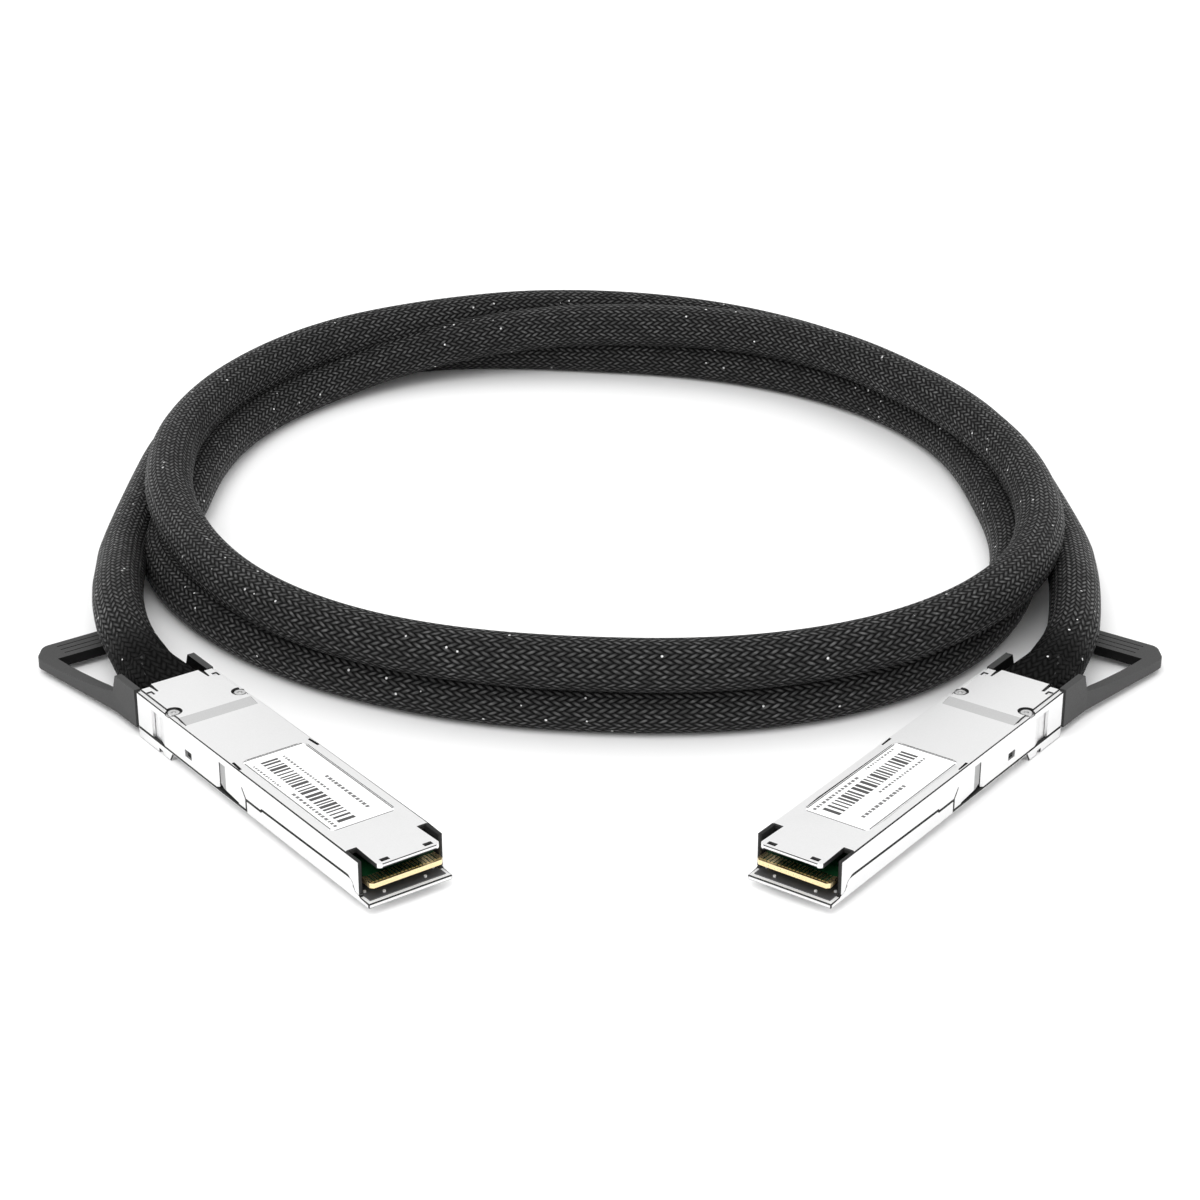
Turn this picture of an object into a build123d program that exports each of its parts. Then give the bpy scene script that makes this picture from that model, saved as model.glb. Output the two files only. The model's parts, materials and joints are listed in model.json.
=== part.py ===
from build123d import *
import math
import os

# A direct attach copper cable: two identical plugs on one braided twinax cable.
# Millimetres. X runs to the right, Y away from the viewer, Z up from the surface it lies on.
# Each plug is drawn in its own frame and then placed: its X runs from the back face to the nose,
# its Y across the body and its Z up.

os.makedirs("parts", exist_ok=True)

# Where the two plugs lie
plug_spread = 87.05
plug_back = 18.195
toe_in = 36.3

# Plug body
shell_width = 18.35
nose_height = 8.5
side_length = 85.3
foot_depth = 1.8
foot_length = 14.2
foot_rise = 1.2
foot_pad = 2.4
foot_groove = 2.0
foot_groove_depth = 0.8
pad_rise = 0.4
pad_length = 16.0
pad_slope = 3.1
pad_width = 16.8
pad_tail = 1.0
pad_tail_width = 11.4
pad_slot = 3.0
pad_slot_width = 0.4
pad_pocket = 1.2
pad_pocket_width = 0.8
pad_pocket_depth = 0.25
pad_pocket_inset = 0.9
floor_thickness = 1.0
roof_thickness = 0.9
front_wall = 0.8
rear_wall = 1.7
rear_bay_width = 14.0
rear_bay_length = 43.9
seam = 0.12
clearance = 0.1

# The line where the shells meet, seen from the side
seam_low = 2.4
seam_step = 4.8
seam_jog = rear_bay_length + 5.7
seam_jog_rise = 0.4
seam_high = 5.7
seam_front = 3.2
seam_hook = 4.7
seam_hook_crown = 0.8
seam_hook_drop = 2.4
seam_hook_back = 2.8
wedge_length = 8.2
wedge_back = 0.5
wedge_height = 1.0
slit_reach = 1.7
slit_rise = 2.1
slit_width = 0.4

# Mouth of the plug
tongue_width = 13.6
tongue_root = side_length - seam_hook
tongue_reach = 3.0
tongue_corner = 1.0
lip_reach = 3.1
tongue_slot = 1.4
tongue_slot_width = 0.6
tongue_slot_spread = 9.4
tongue_slot_inset = 1.2

# Paddle card and what it carries
card_width = 15.9
card_thickness = 1.0
card_height = 3.4
card_back = rear_bay_length + 5.1
card_inset = 0.9
card_chamfer = 0.6
ledge_back = card_back + 5.0
ledge_margin = 2.6
ledge_length = tongue_root - ledge_margin - ledge_back
ledge_width = 1.0
rib_length = 10.0
pin_place = card_back + 13.0
pin_width = 1.0
pin_spread = 15.6
contact_count = 19
contact_pitch = 0.8
contact_width = 0.55
contact_length = 2.6
contact_thickness = 0.05
contact_inset = 0.6
chip_length = 4.0
chip_width = 3.0
chip_height = 0.9
chip_place = card_back + 18.0
film_thickness = 0.2
film_back = rear_bay_length + 2.1
film_edge = 0.35
boss_radius = 0.3
boss_height = 0.5
back_boss_spread = 15.0
front_boss_spread = 9.0
boss_offset = 1.0

# Cable inside the plug
pair_rows = 8
pair_pitch = 1.66
pair_width = 1.5
pair_height = 0.9
pair_corner = 0.3
pair_overlap = 3.2
neck_width = 9.4
neck_height = 4.6
neck_corner = 1.4
neck_centre = 5.7
neck_length = 12.0
flange_rise = 0.5
flange_side = 1.6
flange_thickness = 1.2
crimp_start = 5.0
crimp_length = 7.0
crimp_wall = 0.4
mold_neck = 9.0
mold_taper = 7.0
mold_edge = 0.5

# Strain relief behind the plug
relief_width = 14.6
relief_height = 8.2
relief_base = 1.2
relief_length = 12.0
relief_end_height = 7.0
relief_end_diameter = 11.8
relief_tilt = 0.2

# Latch: travel, sheet and recess
pull_travel = 2.0
sheet = 0.5
arm_tip = 32.8
arm_bottom = 2.5
arm_top = 8.6
arm_recess = 0.575
jog_start = 8.0
jog_length = 3.0
jog_depth = 0.7
skin_length = 6.0
ramp_length = 3.3
arm_tail = 9.0
arm_gap = 0.2
tail_drop = 0.8
bridge_start = 5.0
bridge_width = 4.0
bridge_base = 0.25
window_length = 2.7
lug_place = 19.0
lug_height = 1.6
lug_reach = 2.7

# Return springs and their posts
spring_radius = 0.8
spring_wire = 0.3
spring_turns = 5
spring_sides = 8
spring_spread = 6.6
spring_height = 4.7
spring_seat = 9.0
post_start = 8.0
post_end = 15.0
post_inner = 5.3

# Screws
screw_place = 12.8
screw_spread = 7.6
screw_radius = 0.6
screw_head_radius = 1.2
screw_head_height = 0.6
screw_length = 3.3
screw_hole = 2.9
screw_recess_radius = 1.8
screw_recess_depth = 0.8
screw_socket = 0.55

# Label
label_length = 34.2
label_margin = 7.6
label_start = tongue_root - label_margin - label_length
label_width = 14.4
label_corner = 1.5
label_thickness = 0.12
label_recess = 0.2
dash_length = 3.4
dash_width = 0.35
dash_depth = 0.4
dash_place = 1.2
dash_inset = 0.55

# Pull tab
tab_width = 18.4
tab_tip_width = 25.9
tab_length = 43.4
tab_front = 1.2
plate_length = 8.3
plate_top = 10.2
plate_base = 1.7
plate_wall = 1.5
tab_crotch = 6.1
tab_tip_height = 3.7
tab_tip_base = 1.5
crossbar = 7.3
tab_corner = 3.0
tab_corner_back = 4.5
tab_corner_side = 3.5
tab_crotch_slope = 1.4
tab_middle_rise = 0.8
tab_groove = 0.25
tab_groove_count = 3
tab_groove_ends = 12.0

# Cable
cable_diameter = 11.2
coil_centre = (0.0, 122.345)
coil_half_width = 98.0
coil_half_depth = 106.0
coil_skew = 4.5
coil_power = 2.28
coil_height = 21.4
coil_edge = 6.0
coil_points = 36
cable_sides = 12
# How far the coil's outer and inner walls stand from the base oval, every 30 degrees clockwise from
# its left end
coil_outside = [18.6, 16.8, 13.4, 14.2, 14.8, 15.6, 13.0, 8.8, 7.8, 8.2, 9.4, 14.0]
coil_inside = [5.6, 5.6, 7.1, 9.1, 7.8, 6.1, 8.6, 7.9, 6.0, 5.6, 5.6, 5.6]
# The lead's points behind the back face: distance back, distance across and height
left_lead_points = [
    (24.0, 1.4, 9.4),
    (36.0, 5.4, 10.4),
    (48.0, 11.2, 9.8),
    (60.0, 18.4, 8.0),
    (74.0, 27.8, 6.2),
]
right_lead_points = [
    (24.0, 1.4, 9.4),
    (36.0, 5.7, 10.4),
    (48.0, 12.0, 9.8),
    (60.0, 19.6, 8.0),
    (74.0, 29.8, 6.2),
]

# Worked out from the sizes above
half_width = shell_width / 2
floor_top = foot_depth + floor_thickness
roof_top = foot_depth + nose_height
roof_under = roof_top - roof_thickness
pad_top = roof_top + pad_rise
cavity_half = half_width - front_wall
card_base = foot_depth + card_height
card_top = card_base + card_thickness
tongue_front = side_length + tongue_reach
lip_front = side_length + lip_reach
card_front = lip_front - card_inset
arm_inner = half_width - arm_recess
arm_outer = arm_inner + sheet
tail_inner = arm_inner - jog_depth
tail_outer = tail_inner + sheet
recess_inner = arm_inner - clearance
channel_inner = tail_inner - clearance
skin_inner = tail_outer + clearance
spring_end = lug_place - pull_travel - clearance
tall = 2 * pad_top
boss_places = [(side_length - boss_offset, side * back_boss_spread / 2) for side in (-1, 1)]
boss_places += [(side_length + boss_offset, side * front_boss_spread / 2) for side in (-1, 1)]


def neck_section(margin):
    """The cable's flattened neck, seen along the plug and grown by margin all round."""
    with Locations((0, neck_centre)):
        Rectangle(neck_width + 2 * margin, neck_height + 2 * margin)
    chamfer(vertices(), length=neck_corner)


def seam_line(gap):
    """The shells' meeting line from the back face to the front of the side walls, moved up by gap."""
    Polyline(
        (0, seam_low + gap),
        (rear_bay_length - gap, seam_low + gap),
        (rear_bay_length - gap, seam_step + gap),
        (seam_jog, seam_step + gap),
        (seam_jog + seam_jog_rise, seam_step + seam_jog_rise + gap),
        (tongue_root + seam_hook_crown, seam_high + gap),
    )
    Spline(
        (tongue_root + seam_hook_crown, seam_high + gap),
        (tongue_root + seam_hook_drop + gap, seam_step + gap),
        (tongue_root + seam_hook_back + gap, (seam_step + seam_front) / 2 + gap),
        (side_length, seam_front + gap),
        tangents=((1, -0.2), (1, 0)),
    )


# Top shell: roof, side skirts, tongue and the upper half of the cable's doorway
with BuildPart() as top_shell:
    with BuildSketch(Plane.XZ):
        with BuildLine():
            seam_line(seam / 2)
            Polyline(
                (side_length, seam_front + seam / 2),
                (side_length, roof_top),
                (0, roof_top),
                (0, seam_low + seam / 2),
            )
        make_face()
    extrude(amount=half_width, both=True)
    # Raised pad over the back end, sloping down to the roof
    with BuildSketch(Plane.XZ):
        with BuildLine():
            Polyline(
                (0, roof_under),
                (0, pad_top),
                (pad_length, pad_top),
                (pad_length + pad_slope, roof_top),
                (pad_length + pad_slope, roof_under),
                close=True,
            )
        make_face()
    extrude(amount=pad_width / 2, both=True)
    # Middle of the pad reaching back over the strain relief
    with BuildSketch(Plane.XY.offset(roof_top - seam)):
        with Locations((-pad_tail / 2, 0)):
            Rectangle(pad_tail, pad_tail_width)
    extrude(amount=pad_rise + seam)
    # Room for the paddle card in front and for the wires behind
    with BuildSketch(Plane.XY):
        with Locations(((rear_bay_length + side_length) / 2, 0)):
            Rectangle(side_length - rear_bay_length, 2 * cavity_half)
    extrude(amount=roof_under, mode=Mode.SUBTRACT)
    with BuildSketch(Plane.XY):
        with Locations(((rear_wall + rear_bay_length) / 2, 0)):
            Rectangle(rear_bay_length - rear_wall, rear_bay_width)
    extrude(amount=roof_under, mode=Mode.SUBTRACT)
    # The lower half of the doorway wall belongs to the bottom shell
    with BuildSketch(Plane.XY):
        with Locations((rear_wall / 2, 0)):
            Rectangle(rear_wall, rear_bay_width)
    extrude(amount=neck_centre, mode=Mode.SUBTRACT)
    with BuildSketch(Plane.YZ):
        neck_section(clearance)
    extrude(amount=rear_wall, mode=Mode.SUBTRACT)
    # Bays for the screw posts
    with BuildSketch(Plane.XY):
        with Locations(((post_start + post_end) / 2, 0)):
            Rectangle(post_end - post_start + 2 * clearance, 2 * recess_inner)
    extrude(amount=roof_under, mode=Mode.SUBTRACT)
    # Side recess for the latch arm, with a channel under the skin at the back and a ramp in front
    with BuildSketch(Plane.XY):
        with BuildLine():
            Polyline(
                (-1, channel_inner),
                (jog_start, channel_inner),
                (jog_start + jog_length, recess_inner),
                (arm_tip, recess_inner),
                (arm_tip + ramp_length, half_width),
                (arm_tip + ramp_length, half_width + 1),
                (skin_length, half_width + 1),
                (skin_length, skin_inner),
                (-1, skin_inner),
                close=True,
            )
        make_face()
        mirror(about=Plane.XZ)
    extrude(amount=arm_top + clearance, mode=Mode.SUBTRACT)
    # Slots where the latch arm's lug reaches in to the return spring
    with BuildSketch(Plane.XZ):
        with Locations(((post_end + lug_place + sheet) / 2, spring_height)):
            Rectangle(lug_place + sheet - post_end + 2 * clearance, lug_height + 2 * clearance)
    extrude(amount=half_width, both=True, mode=Mode.SUBTRACT)
    # Wedge slot along the seam in front of the latch arm
    with BuildSketch(Plane.XZ):
        with BuildLine():
            Polyline(
                (arm_tip - wedge_back, seam_low),
                (arm_tip + wedge_length, seam_low),
                (arm_tip + wedge_length, seam_low + wedge_height / 2),
                (arm_tip - wedge_back, seam_low + wedge_height),
                close=True,
            )
        make_face()
    extrude(amount=half_width, both=True, mode=Mode.SUBTRACT)
    # Slanted slit behind the seam's step
    with BuildSketch(Plane.XZ):
        with BuildLine():
            Polyline(
                (rear_bay_length - slit_reach, seam_step + slit_rise),
                (rear_bay_length - slit_reach + slit_width, seam_step + slit_rise),
                (rear_bay_length, seam_step + slit_width),
                (rear_bay_length, seam_step),
                (rear_bay_length - slit_width, seam_step + slit_width / 2),
                close=True,
            )
        make_face()
    extrude(amount=half_width, both=True, mode=Mode.SUBTRACT)
    # Corner notches beside the tongue
    with BuildSketch(Plane.XY.offset(roof_under)):
        with Locations(((tongue_root + side_length) / 2, 0)):
            Rectangle(side_length - tongue_root, 2 * cavity_half)
    extrude(amount=roof_thickness, mode=Mode.SUBTRACT)
    with BuildSketch(Plane.XY.offset(roof_under)):
        with Locations(((tongue_root + tongue_front) / 2, 0)):
            Rectangle(tongue_front - tongue_root, tongue_width)
    extrude(amount=roof_thickness)
    front_corners = top_shell.edges().filter_by(Axis.Z).group_by(Axis.X)[-1]
    fillet(front_corners, radius=tongue_corner)
    with BuildSketch(Plane.XY.offset(roof_under)):
        with Locations((tongue_front - tongue_slot_inset, 0)):
            with GridLocations(0, tongue_slot_spread, 1, 2):
                Rectangle(tongue_slot_width, tongue_slot)
    extrude(amount=roof_thickness, mode=Mode.SUBTRACT)
    # Ribs that hold the card down on its ledges
    with BuildSketch(Plane.XY.offset(card_top)):
        for place in (ledge_back, ledge_back + ledge_length - rib_length):
            for side in (-1, 1):
                with Locations((place + rib_length / 2, side * (cavity_half - ledge_width / 2))):
                    Rectangle(rib_length, ledge_width)
    extrude(amount=roof_under - card_top)
    # Label recess
    with BuildSketch(Plane.XY.offset(roof_top - label_recess)):
        with Locations((label_start + label_length / 2, 0)):
            RectangleRounded(label_length, label_width, label_corner)
    extrude(amount=label_recess, mode=Mode.SUBTRACT)
    # Screw recesses, open at the side edge, and screw holes
    with BuildSketch(Plane.XY.offset(pad_top - screw_recess_depth)):
        with Locations((screw_place, screw_spread), (screw_place, -screw_spread)):
            Circle(screw_recess_radius)
    extrude(amount=screw_recess_depth, mode=Mode.SUBTRACT)
    with BuildSketch(Plane.XY.offset(roof_under)):
        with Locations((screw_place, screw_spread), (screw_place, -screw_spread)):
            Circle(screw_radius + clearance)
    extrude(amount=pad_rise + roof_thickness, mode=Mode.SUBTRACT)
    # Small pockets in the back corners and slots beside the label
    with BuildSketch(Plane.XY.offset(pad_top - pad_pocket_depth)):
        with Locations((pad_slot, 0)):
            with GridLocations(0, pad_width - 2 * pad_pocket_inset, 1, 2):
                Rectangle(pad_pocket, pad_pocket_width)
        with Locations((pad_slot / 2, 0)):
            with GridLocations(0, pad_tail_width + pad_slot_width, 1, 2):
                Rectangle(pad_slot, pad_slot_width)
    extrude(amount=pad_pocket_depth, mode=Mode.SUBTRACT)
    with BuildSketch(Plane.XY.offset(roof_top - dash_depth)):
        with Locations((label_start + dash_place, 0)):
            with GridLocations(0, shell_width - 2 * dash_inset, 1, 2):
                Rectangle(dash_length, dash_width)
    extrude(amount=dash_depth, mode=Mode.SUBTRACT)

# Bottom shell: floor, low side walls, lip, foot, card ledges and screw posts
with BuildPart() as bottom_shell:
    with BuildSketch(Plane.XZ):
        with BuildLine():
            seam_line(-seam / 2)
            Polyline(
                (side_length, seam_front - seam / 2),
                (side_length, floor_top),
                (lip_front, floor_top),
                (lip_front, foot_depth),
                (foot_length, foot_depth),
                (foot_length - foot_rise, 0),
                (foot_length - foot_rise - foot_pad, 0),
                (foot_length - foot_rise - foot_pad - foot_groove / 2, foot_groove_depth),
                (foot_length - foot_rise - foot_pad - foot_groove, foot_groove_depth),
                (foot_length - foot_rise - foot_pad - foot_groove, 0),
                (0, 0),
                (0, seam_low - seam / 2),
            )
        make_face()
    extrude(amount=half_width, both=True)
    with BuildSketch(Plane.XY.offset(floor_top)):
        with Locations(((rear_bay_length + side_length) / 2, 0)):
            Rectangle(side_length - rear_bay_length + 2 * seam, 2 * cavity_half)
    extrude(amount=roof_top, mode=Mode.SUBTRACT)
    # Raised floor and doorway wall between the top shell's skirts
    with BuildSketch(Plane.XY.offset(foot_depth)):
        with Locations((rear_bay_length / 2, 0)):
            Rectangle(rear_bay_length, rear_bay_width - 2 * clearance)
    extrude(amount=floor_thickness)
    with BuildSketch(Plane.XY.offset(floor_top)):
        with Locations((rear_wall / 2, 0)):
            Rectangle(rear_wall, rear_bay_width - 2 * clearance)
    extrude(amount=neck_centre - floor_top - seam)
    with BuildSketch(Plane.YZ):
        neck_section(clearance)
    extrude(amount=rear_wall, mode=Mode.SUBTRACT)
    # Ledges under the card, with a pin for each of its notches
    with BuildSketch(Plane.XY.offset(floor_top)):
        for side in (-1, 1):
            with Locations((ledge_back + ledge_length / 2, side * (cavity_half - ledge_width / 2))):
                Rectangle(ledge_length, ledge_width)
    extrude(amount=card_base - floor_top)
    with BuildSketch(Plane.XY.offset(card_base - floor_thickness)):
        with Locations((pin_place, 0)):
            with GridLocations(0, pin_spread, 1, 2):
                Rectangle(pin_width, pin_width)
    extrude(amount=floor_thickness + card_thickness - clearance)
    # Small bosses on the floor of the mouth that locate the film
    with BuildSketch(Plane.XY.offset(floor_top)):
        with Locations(*boss_places):
            RegularPolygon(boss_radius, 6)
    extrude(amount=boss_height)
    # Screw posts, each with a thread for its screw and a bore for its return spring
    with BuildSketch(Plane.XY.offset(foot_depth)):
        with BuildLine():
            Polyline(
                (post_start, post_inner),
                (post_end, post_inner),
                (post_end, channel_inner - clearance),
                (post_start, channel_inner - clearance),
                close=True,
            )
        make_face()
        mirror(about=Plane.XZ)
    extrude(amount=roof_under - foot_depth)
    with BuildSketch(Plane.YZ.offset(spring_seat)):
        with Locations((spring_spread, spring_height), (-spring_spread, spring_height)):
            Circle(spring_radius + clearance)
    extrude(amount=post_end - spring_seat, mode=Mode.SUBTRACT)
    with BuildSketch(Plane.XY.offset(roof_under)):
        with Locations((screw_place, screw_spread), (screw_place, -screw_spread)):
            Circle(screw_radius + clearance / 2)
    extrude(amount=-screw_hole, mode=Mode.SUBTRACT)
    # Slots for the slider's legs and an open groove for its bridge
    bridge_bay = bridge_start + bridge_width / 2 - pull_travel / 2
    with BuildSketch(Plane.XY):
        with Locations((bridge_bay, 0)):
            Rectangle(bridge_width + pull_travel + 4 * clearance, 2 * skin_inner)
            Rectangle(bridge_width + pull_travel + 4 * clearance, 2 * channel_inner, mode=Mode.SUBTRACT)
    extrude(amount=tall, mode=Mode.SUBTRACT)
    with BuildSketch(Plane.XY):
        with Locations((bridge_bay, 0)):
            Rectangle(bridge_width + pull_travel + 4 * clearance, 2 * skin_inner)
    extrude(amount=bridge_base + sheet + clearance, mode=Mode.SUBTRACT)

# Paddle card: the circuit board whose front edge is the plug's connector
with BuildPart() as paddle_card:
    with BuildSketch(Plane.XY.offset(card_base)):
        with Locations(((card_back + card_front) / 2, 0)):
            Rectangle(card_front - card_back, card_width)
        chamfer(vertices().group_by(Axis.X)[-1], length=card_chamfer)
        with Locations((pin_place, 0)):
            with GridLocations(0, pin_spread, 1, 2):
                Rectangle(pin_width + 2 * clearance, pin_width + 2 * clearance, mode=Mode.SUBTRACT)
    extrude(amount=card_thickness)

# Gold contacts: one row on each face of the card
with BuildPart() as card_contacts:
    for base in (card_top, card_base - contact_thickness):
        with BuildSketch(Plane.XY.offset(base)):
            with Locations((card_front - contact_inset - contact_length / 2, 0)):
                with GridLocations(0, contact_pitch, 1, contact_count):
                    Rectangle(contact_length, contact_width)
        extrude(amount=contact_thickness)

# Memory chip on the card
with BuildPart() as memory_chip:
    with BuildSketch(Plane.XY.offset(card_top)):
        with Locations((chip_place, card_width / 5)):
            Rectangle(chip_length, chip_width)
    extrude(amount=chip_height)

# Insulating film on the floor under the card
with BuildPart() as card_insulator:
    with BuildSketch(Plane.XY.offset(floor_top)):
        ledge_front = ledge_back + ledge_length + clearance
        film_front = lip_front - film_edge
        with Locations(((film_back + film_front) / 2, 0)):
            Rectangle(film_front - film_back, 2 * (cavity_half - ledge_width - clearance))
        with Locations(((ledge_front + film_front) / 2, 0)):
            Rectangle(film_front - ledge_front, 2 * (cavity_half - clearance))
        with Locations(((side_length + clearance + film_front) / 2, 0)):
            Rectangle(film_front - side_length - clearance, shell_width - 2 * film_edge)
        with Locations(*boss_places):
            RegularPolygon(boss_radius + clearance, 6, mode=Mode.SUBTRACT)
    extrude(amount=film_thickness)

# Twinax pairs, in two layers, soldered to both faces of the card
with BuildPart() as twinax_pairs:
    for height in (card_top + pair_height / 2, card_base - pair_height / 2):
        with BuildSketch(Plane.YZ.offset(rear_bay_length)):
            with Locations((0, height)):
                with GridLocations(pair_pitch, 0, pair_rows, 1):
                    Rectangle(pair_width, pair_height)
            chamfer(vertices(), length=pair_corner)
        extrude(amount=card_back + pair_overlap - rear_bay_length)

# Wire mold: holds the pairs in their two layers behind the card
with BuildPart() as wire_mold:
    mold_shoulder = neck_length + mold_neck
    mold_width = rear_bay_width - 4 * clearance
    with BuildSketch(Plane.XY.offset(neck_centre - neck_height / 2)):
        with BuildLine():
            Polyline(
                (neck_length, neck_width / 2),
                (mold_shoulder, neck_width / 2),
                (mold_shoulder + mold_taper, mold_width / 2),
                (rear_bay_length, mold_width / 2),
                (rear_bay_length, -mold_width / 2),
                (mold_shoulder + mold_taper, -mold_width / 2),
                (mold_shoulder, -neck_width / 2),
                (neck_length, -neck_width / 2),
                close=True,
            )
        make_face()
    extrude(amount=neck_height)
    chamfer(wire_mold.edges().group_by(Axis.Z)[-1], length=mold_edge)

# Crimp ring around the cable's shield, just inside the doorway
with BuildPart() as crimp_ring:
    with BuildSketch(Plane.YZ.offset(crimp_start)):
        neck_section(crimp_wall)
    extrude(amount=crimp_length)
    with BuildSketch(Plane.YZ.offset(crimp_start)):
        neck_section(0)
    extrude(amount=crimp_length, mode=Mode.SUBTRACT)

# Strain relief: a cone from the back face to a round sleeve, flattened where it leaves the plug, with
# a flanged neck inside
relief_start = Vector(0, 0, relief_base + relief_height / 2)
relief_end = Vector(-relief_length, 0, relief_end_height)
relief_way = (relief_end - relief_start).normalized()
relief_end_radius = relief_end_diameter / 2
with BuildPart() as strain_relief:
    with BuildSketch(Plane(origin=relief_start - relief_way * rear_wall, z_dir=relief_way)):
        Circle(relief_width / 2)
    with BuildSketch(Plane(origin=relief_end + relief_way * rear_wall, z_dir=relief_way)):
        Circle(relief_end_radius)
    loft()
    split(bisect_by=Plane(origin=(-clearance, 0, 0), z_dir=(-1, 0, 0)))
    split(bisect_by=Plane(origin=relief_end, z_dir=(1, 0, -relief_tilt)))
    with BuildSketch(Plane.XZ):
        with BuildLine():
            Polyline(
                (0, relief_base),
                (0, relief_base + relief_height),
                (-relief_length, relief_end_height + relief_end_radius + clearance),
                (-relief_length - relief_height, relief_end_height + relief_end_radius),
                (-relief_length - relief_height, relief_end_height - relief_end_radius - clearance),
                (-relief_length, relief_end_height - relief_end_radius - clearance),
                close=True,
            )
        make_face()
    extrude(amount=relief_width, both=True, mode=Mode.INTERSECT)
    with BuildSketch(Plane.YZ.offset(-clearance)):
        neck_section(0)
    extrude(amount=neck_length + clearance)
    with BuildSketch(Plane.YZ.offset(rear_wall + clearance)):
        with Locations((0, neck_centre)):
            Rectangle(neck_width + 2 * flange_side, neck_height + 2 * flange_rise)
        chamfer(vertices(), length=neck_corner)
    extrude(amount=flange_thickness)

# Latch slider: one folded steel U with an arm along each side and a bridge under the foot
with BuildPart() as latch_slider:
    with BuildSketch(Plane.XY.offset(arm_bottom)):
        with BuildLine():
            Polyline(
                (-arm_tail, tail_inner),
                (jog_start, tail_inner),
                (jog_start + jog_length, arm_inner),
                (arm_tip - arm_gap, arm_inner),
                (arm_tip - arm_gap - sheet, arm_outer),
                (jog_start + jog_length, arm_outer),
                (jog_start, tail_outer),
                (-arm_tail, tail_outer),
                close=True,
            )
        make_face()
        mirror(about=Plane.XZ)
    extrude(amount=arm_top - arm_bottom)
    # The part under the skin is lower than the arm
    with BuildSketch(Plane.XY.offset(arm_top - tail_drop)):
        with Locations(((skin_length - arm_tail) / 2, 0)):
            Rectangle(arm_tail + skin_length, 2 * tail_outer)
    extrude(amount=tail_drop, mode=Mode.SUBTRACT)
    # Window that the lug is bent out of, and the lug
    with BuildSketch(Plane.XZ):
        with Locations((lug_place + sheet + window_length / 2, spring_height)):
            Rectangle(window_length, lug_height)
    extrude(amount=half_width, both=True, mode=Mode.SUBTRACT)
    with BuildSketch(Plane.XY.offset(spring_height - lug_height / 2)):
        with Locations((lug_place + sheet / 2, 0)):
            Rectangle(sheet, 2 * arm_inner)
            Rectangle(sheet, 2 * (arm_inner - lug_reach), mode=Mode.SUBTRACT)
    extrude(amount=lug_height)
    # Legs down to the bridge
    with BuildSketch(Plane.XY.offset(bridge_base)):
        with Locations((bridge_start + bridge_width / 2, 0)):
            Rectangle(bridge_width, 2 * tail_outer)
            Rectangle(bridge_width, 2 * tail_inner, mode=Mode.SUBTRACT)
    extrude(amount=arm_bottom - bridge_base)
    with BuildSketch(Plane.XY.offset(bridge_base)):
        with Locations((bridge_start + bridge_width / 2, 0)):
            Rectangle(bridge_width, 2 * tail_outer)
    extrude(amount=sheet)

# Pull tab: side plates moulded over the slider's ends, arms and a ribbed crossbar
with BuildPart() as pull_tab:
    with BuildSketch(Plane.XY):
        with BuildLine():
            Polyline(
                (-tab_front, tab_width / 2),
                (-tab_front - plate_length - plate_wall, tab_width / 2 + clearance),
                (-tab_length + tab_corner_back, tab_tip_width / 2),
                (-tab_length, tab_tip_width / 2 - tab_corner_side),
                (-tab_length, 0),
                (-tab_length + crossbar, 0),
                (-tab_length + crossbar, tab_tip_width / 2 - tab_corner_side),
                (-tab_front - plate_length - tab_crotch, tab_width / 2 - plate_wall),
                (-tab_front, tab_width / 2 - plate_wall),
                close=True,
            )
        make_face()
        outer_corner = (-tab_length + tab_corner_back, tab_tip_width / 2)
        fillet(vertices().sort_by_distance(outer_corner)[0], radius=tab_corner)
        back_corner = (-tab_length, tab_tip_width / 2 - tab_corner_side)
        fillet(vertices().sort_by_distance(back_corner)[0], radius=tab_corner)
        mirror(about=Plane.XZ)
    extrude(amount=tall)
    # Seen from the side: high plates, a crotch behind them and arms that thin towards the crossbar
    with BuildSketch(Plane.XZ):
        with BuildLine():
            Polyline(
                (-tab_front, plate_base),
                (-tab_front, plate_top),
                (-tab_front - plate_length, plate_top),
                (-tab_front - plate_length - tab_crotch_slope, tab_crotch),
            )
            Spline(
                (-tab_front - plate_length - tab_crotch_slope, tab_crotch),
                (-tab_length / 2, tab_tip_height + tab_middle_rise),
                (-tab_length + crossbar, tab_tip_height),
                tangents=((-1, -0.25), (-1, 0)),
            )
            Polyline(
                (-tab_length + crossbar, tab_tip_height),
                (-tab_length, tab_tip_height),
                (-tab_length, tab_tip_base),
                (-tab_front, plate_base),
            )
        make_face()
    extrude(amount=tab_tip_width, both=True, mode=Mode.INTERSECT)
    # Grip grooves along the crossbar
    with BuildSketch(Plane.XY.offset(tab_tip_height)):
        with Locations((-tab_length + crossbar / 2, 0)):
            with GridLocations(crossbar / (tab_groove_count + 1), 0, tab_groove_count, 1):
                Rectangle(tab_groove, tab_tip_width - tab_groove_ends)
    extrude(amount=-tab_groove, mode=Mode.SUBTRACT)
    # Room for the steel ends that it is moulded over
    add(latch_slider.part, mode=Mode.SUBTRACT)

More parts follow.
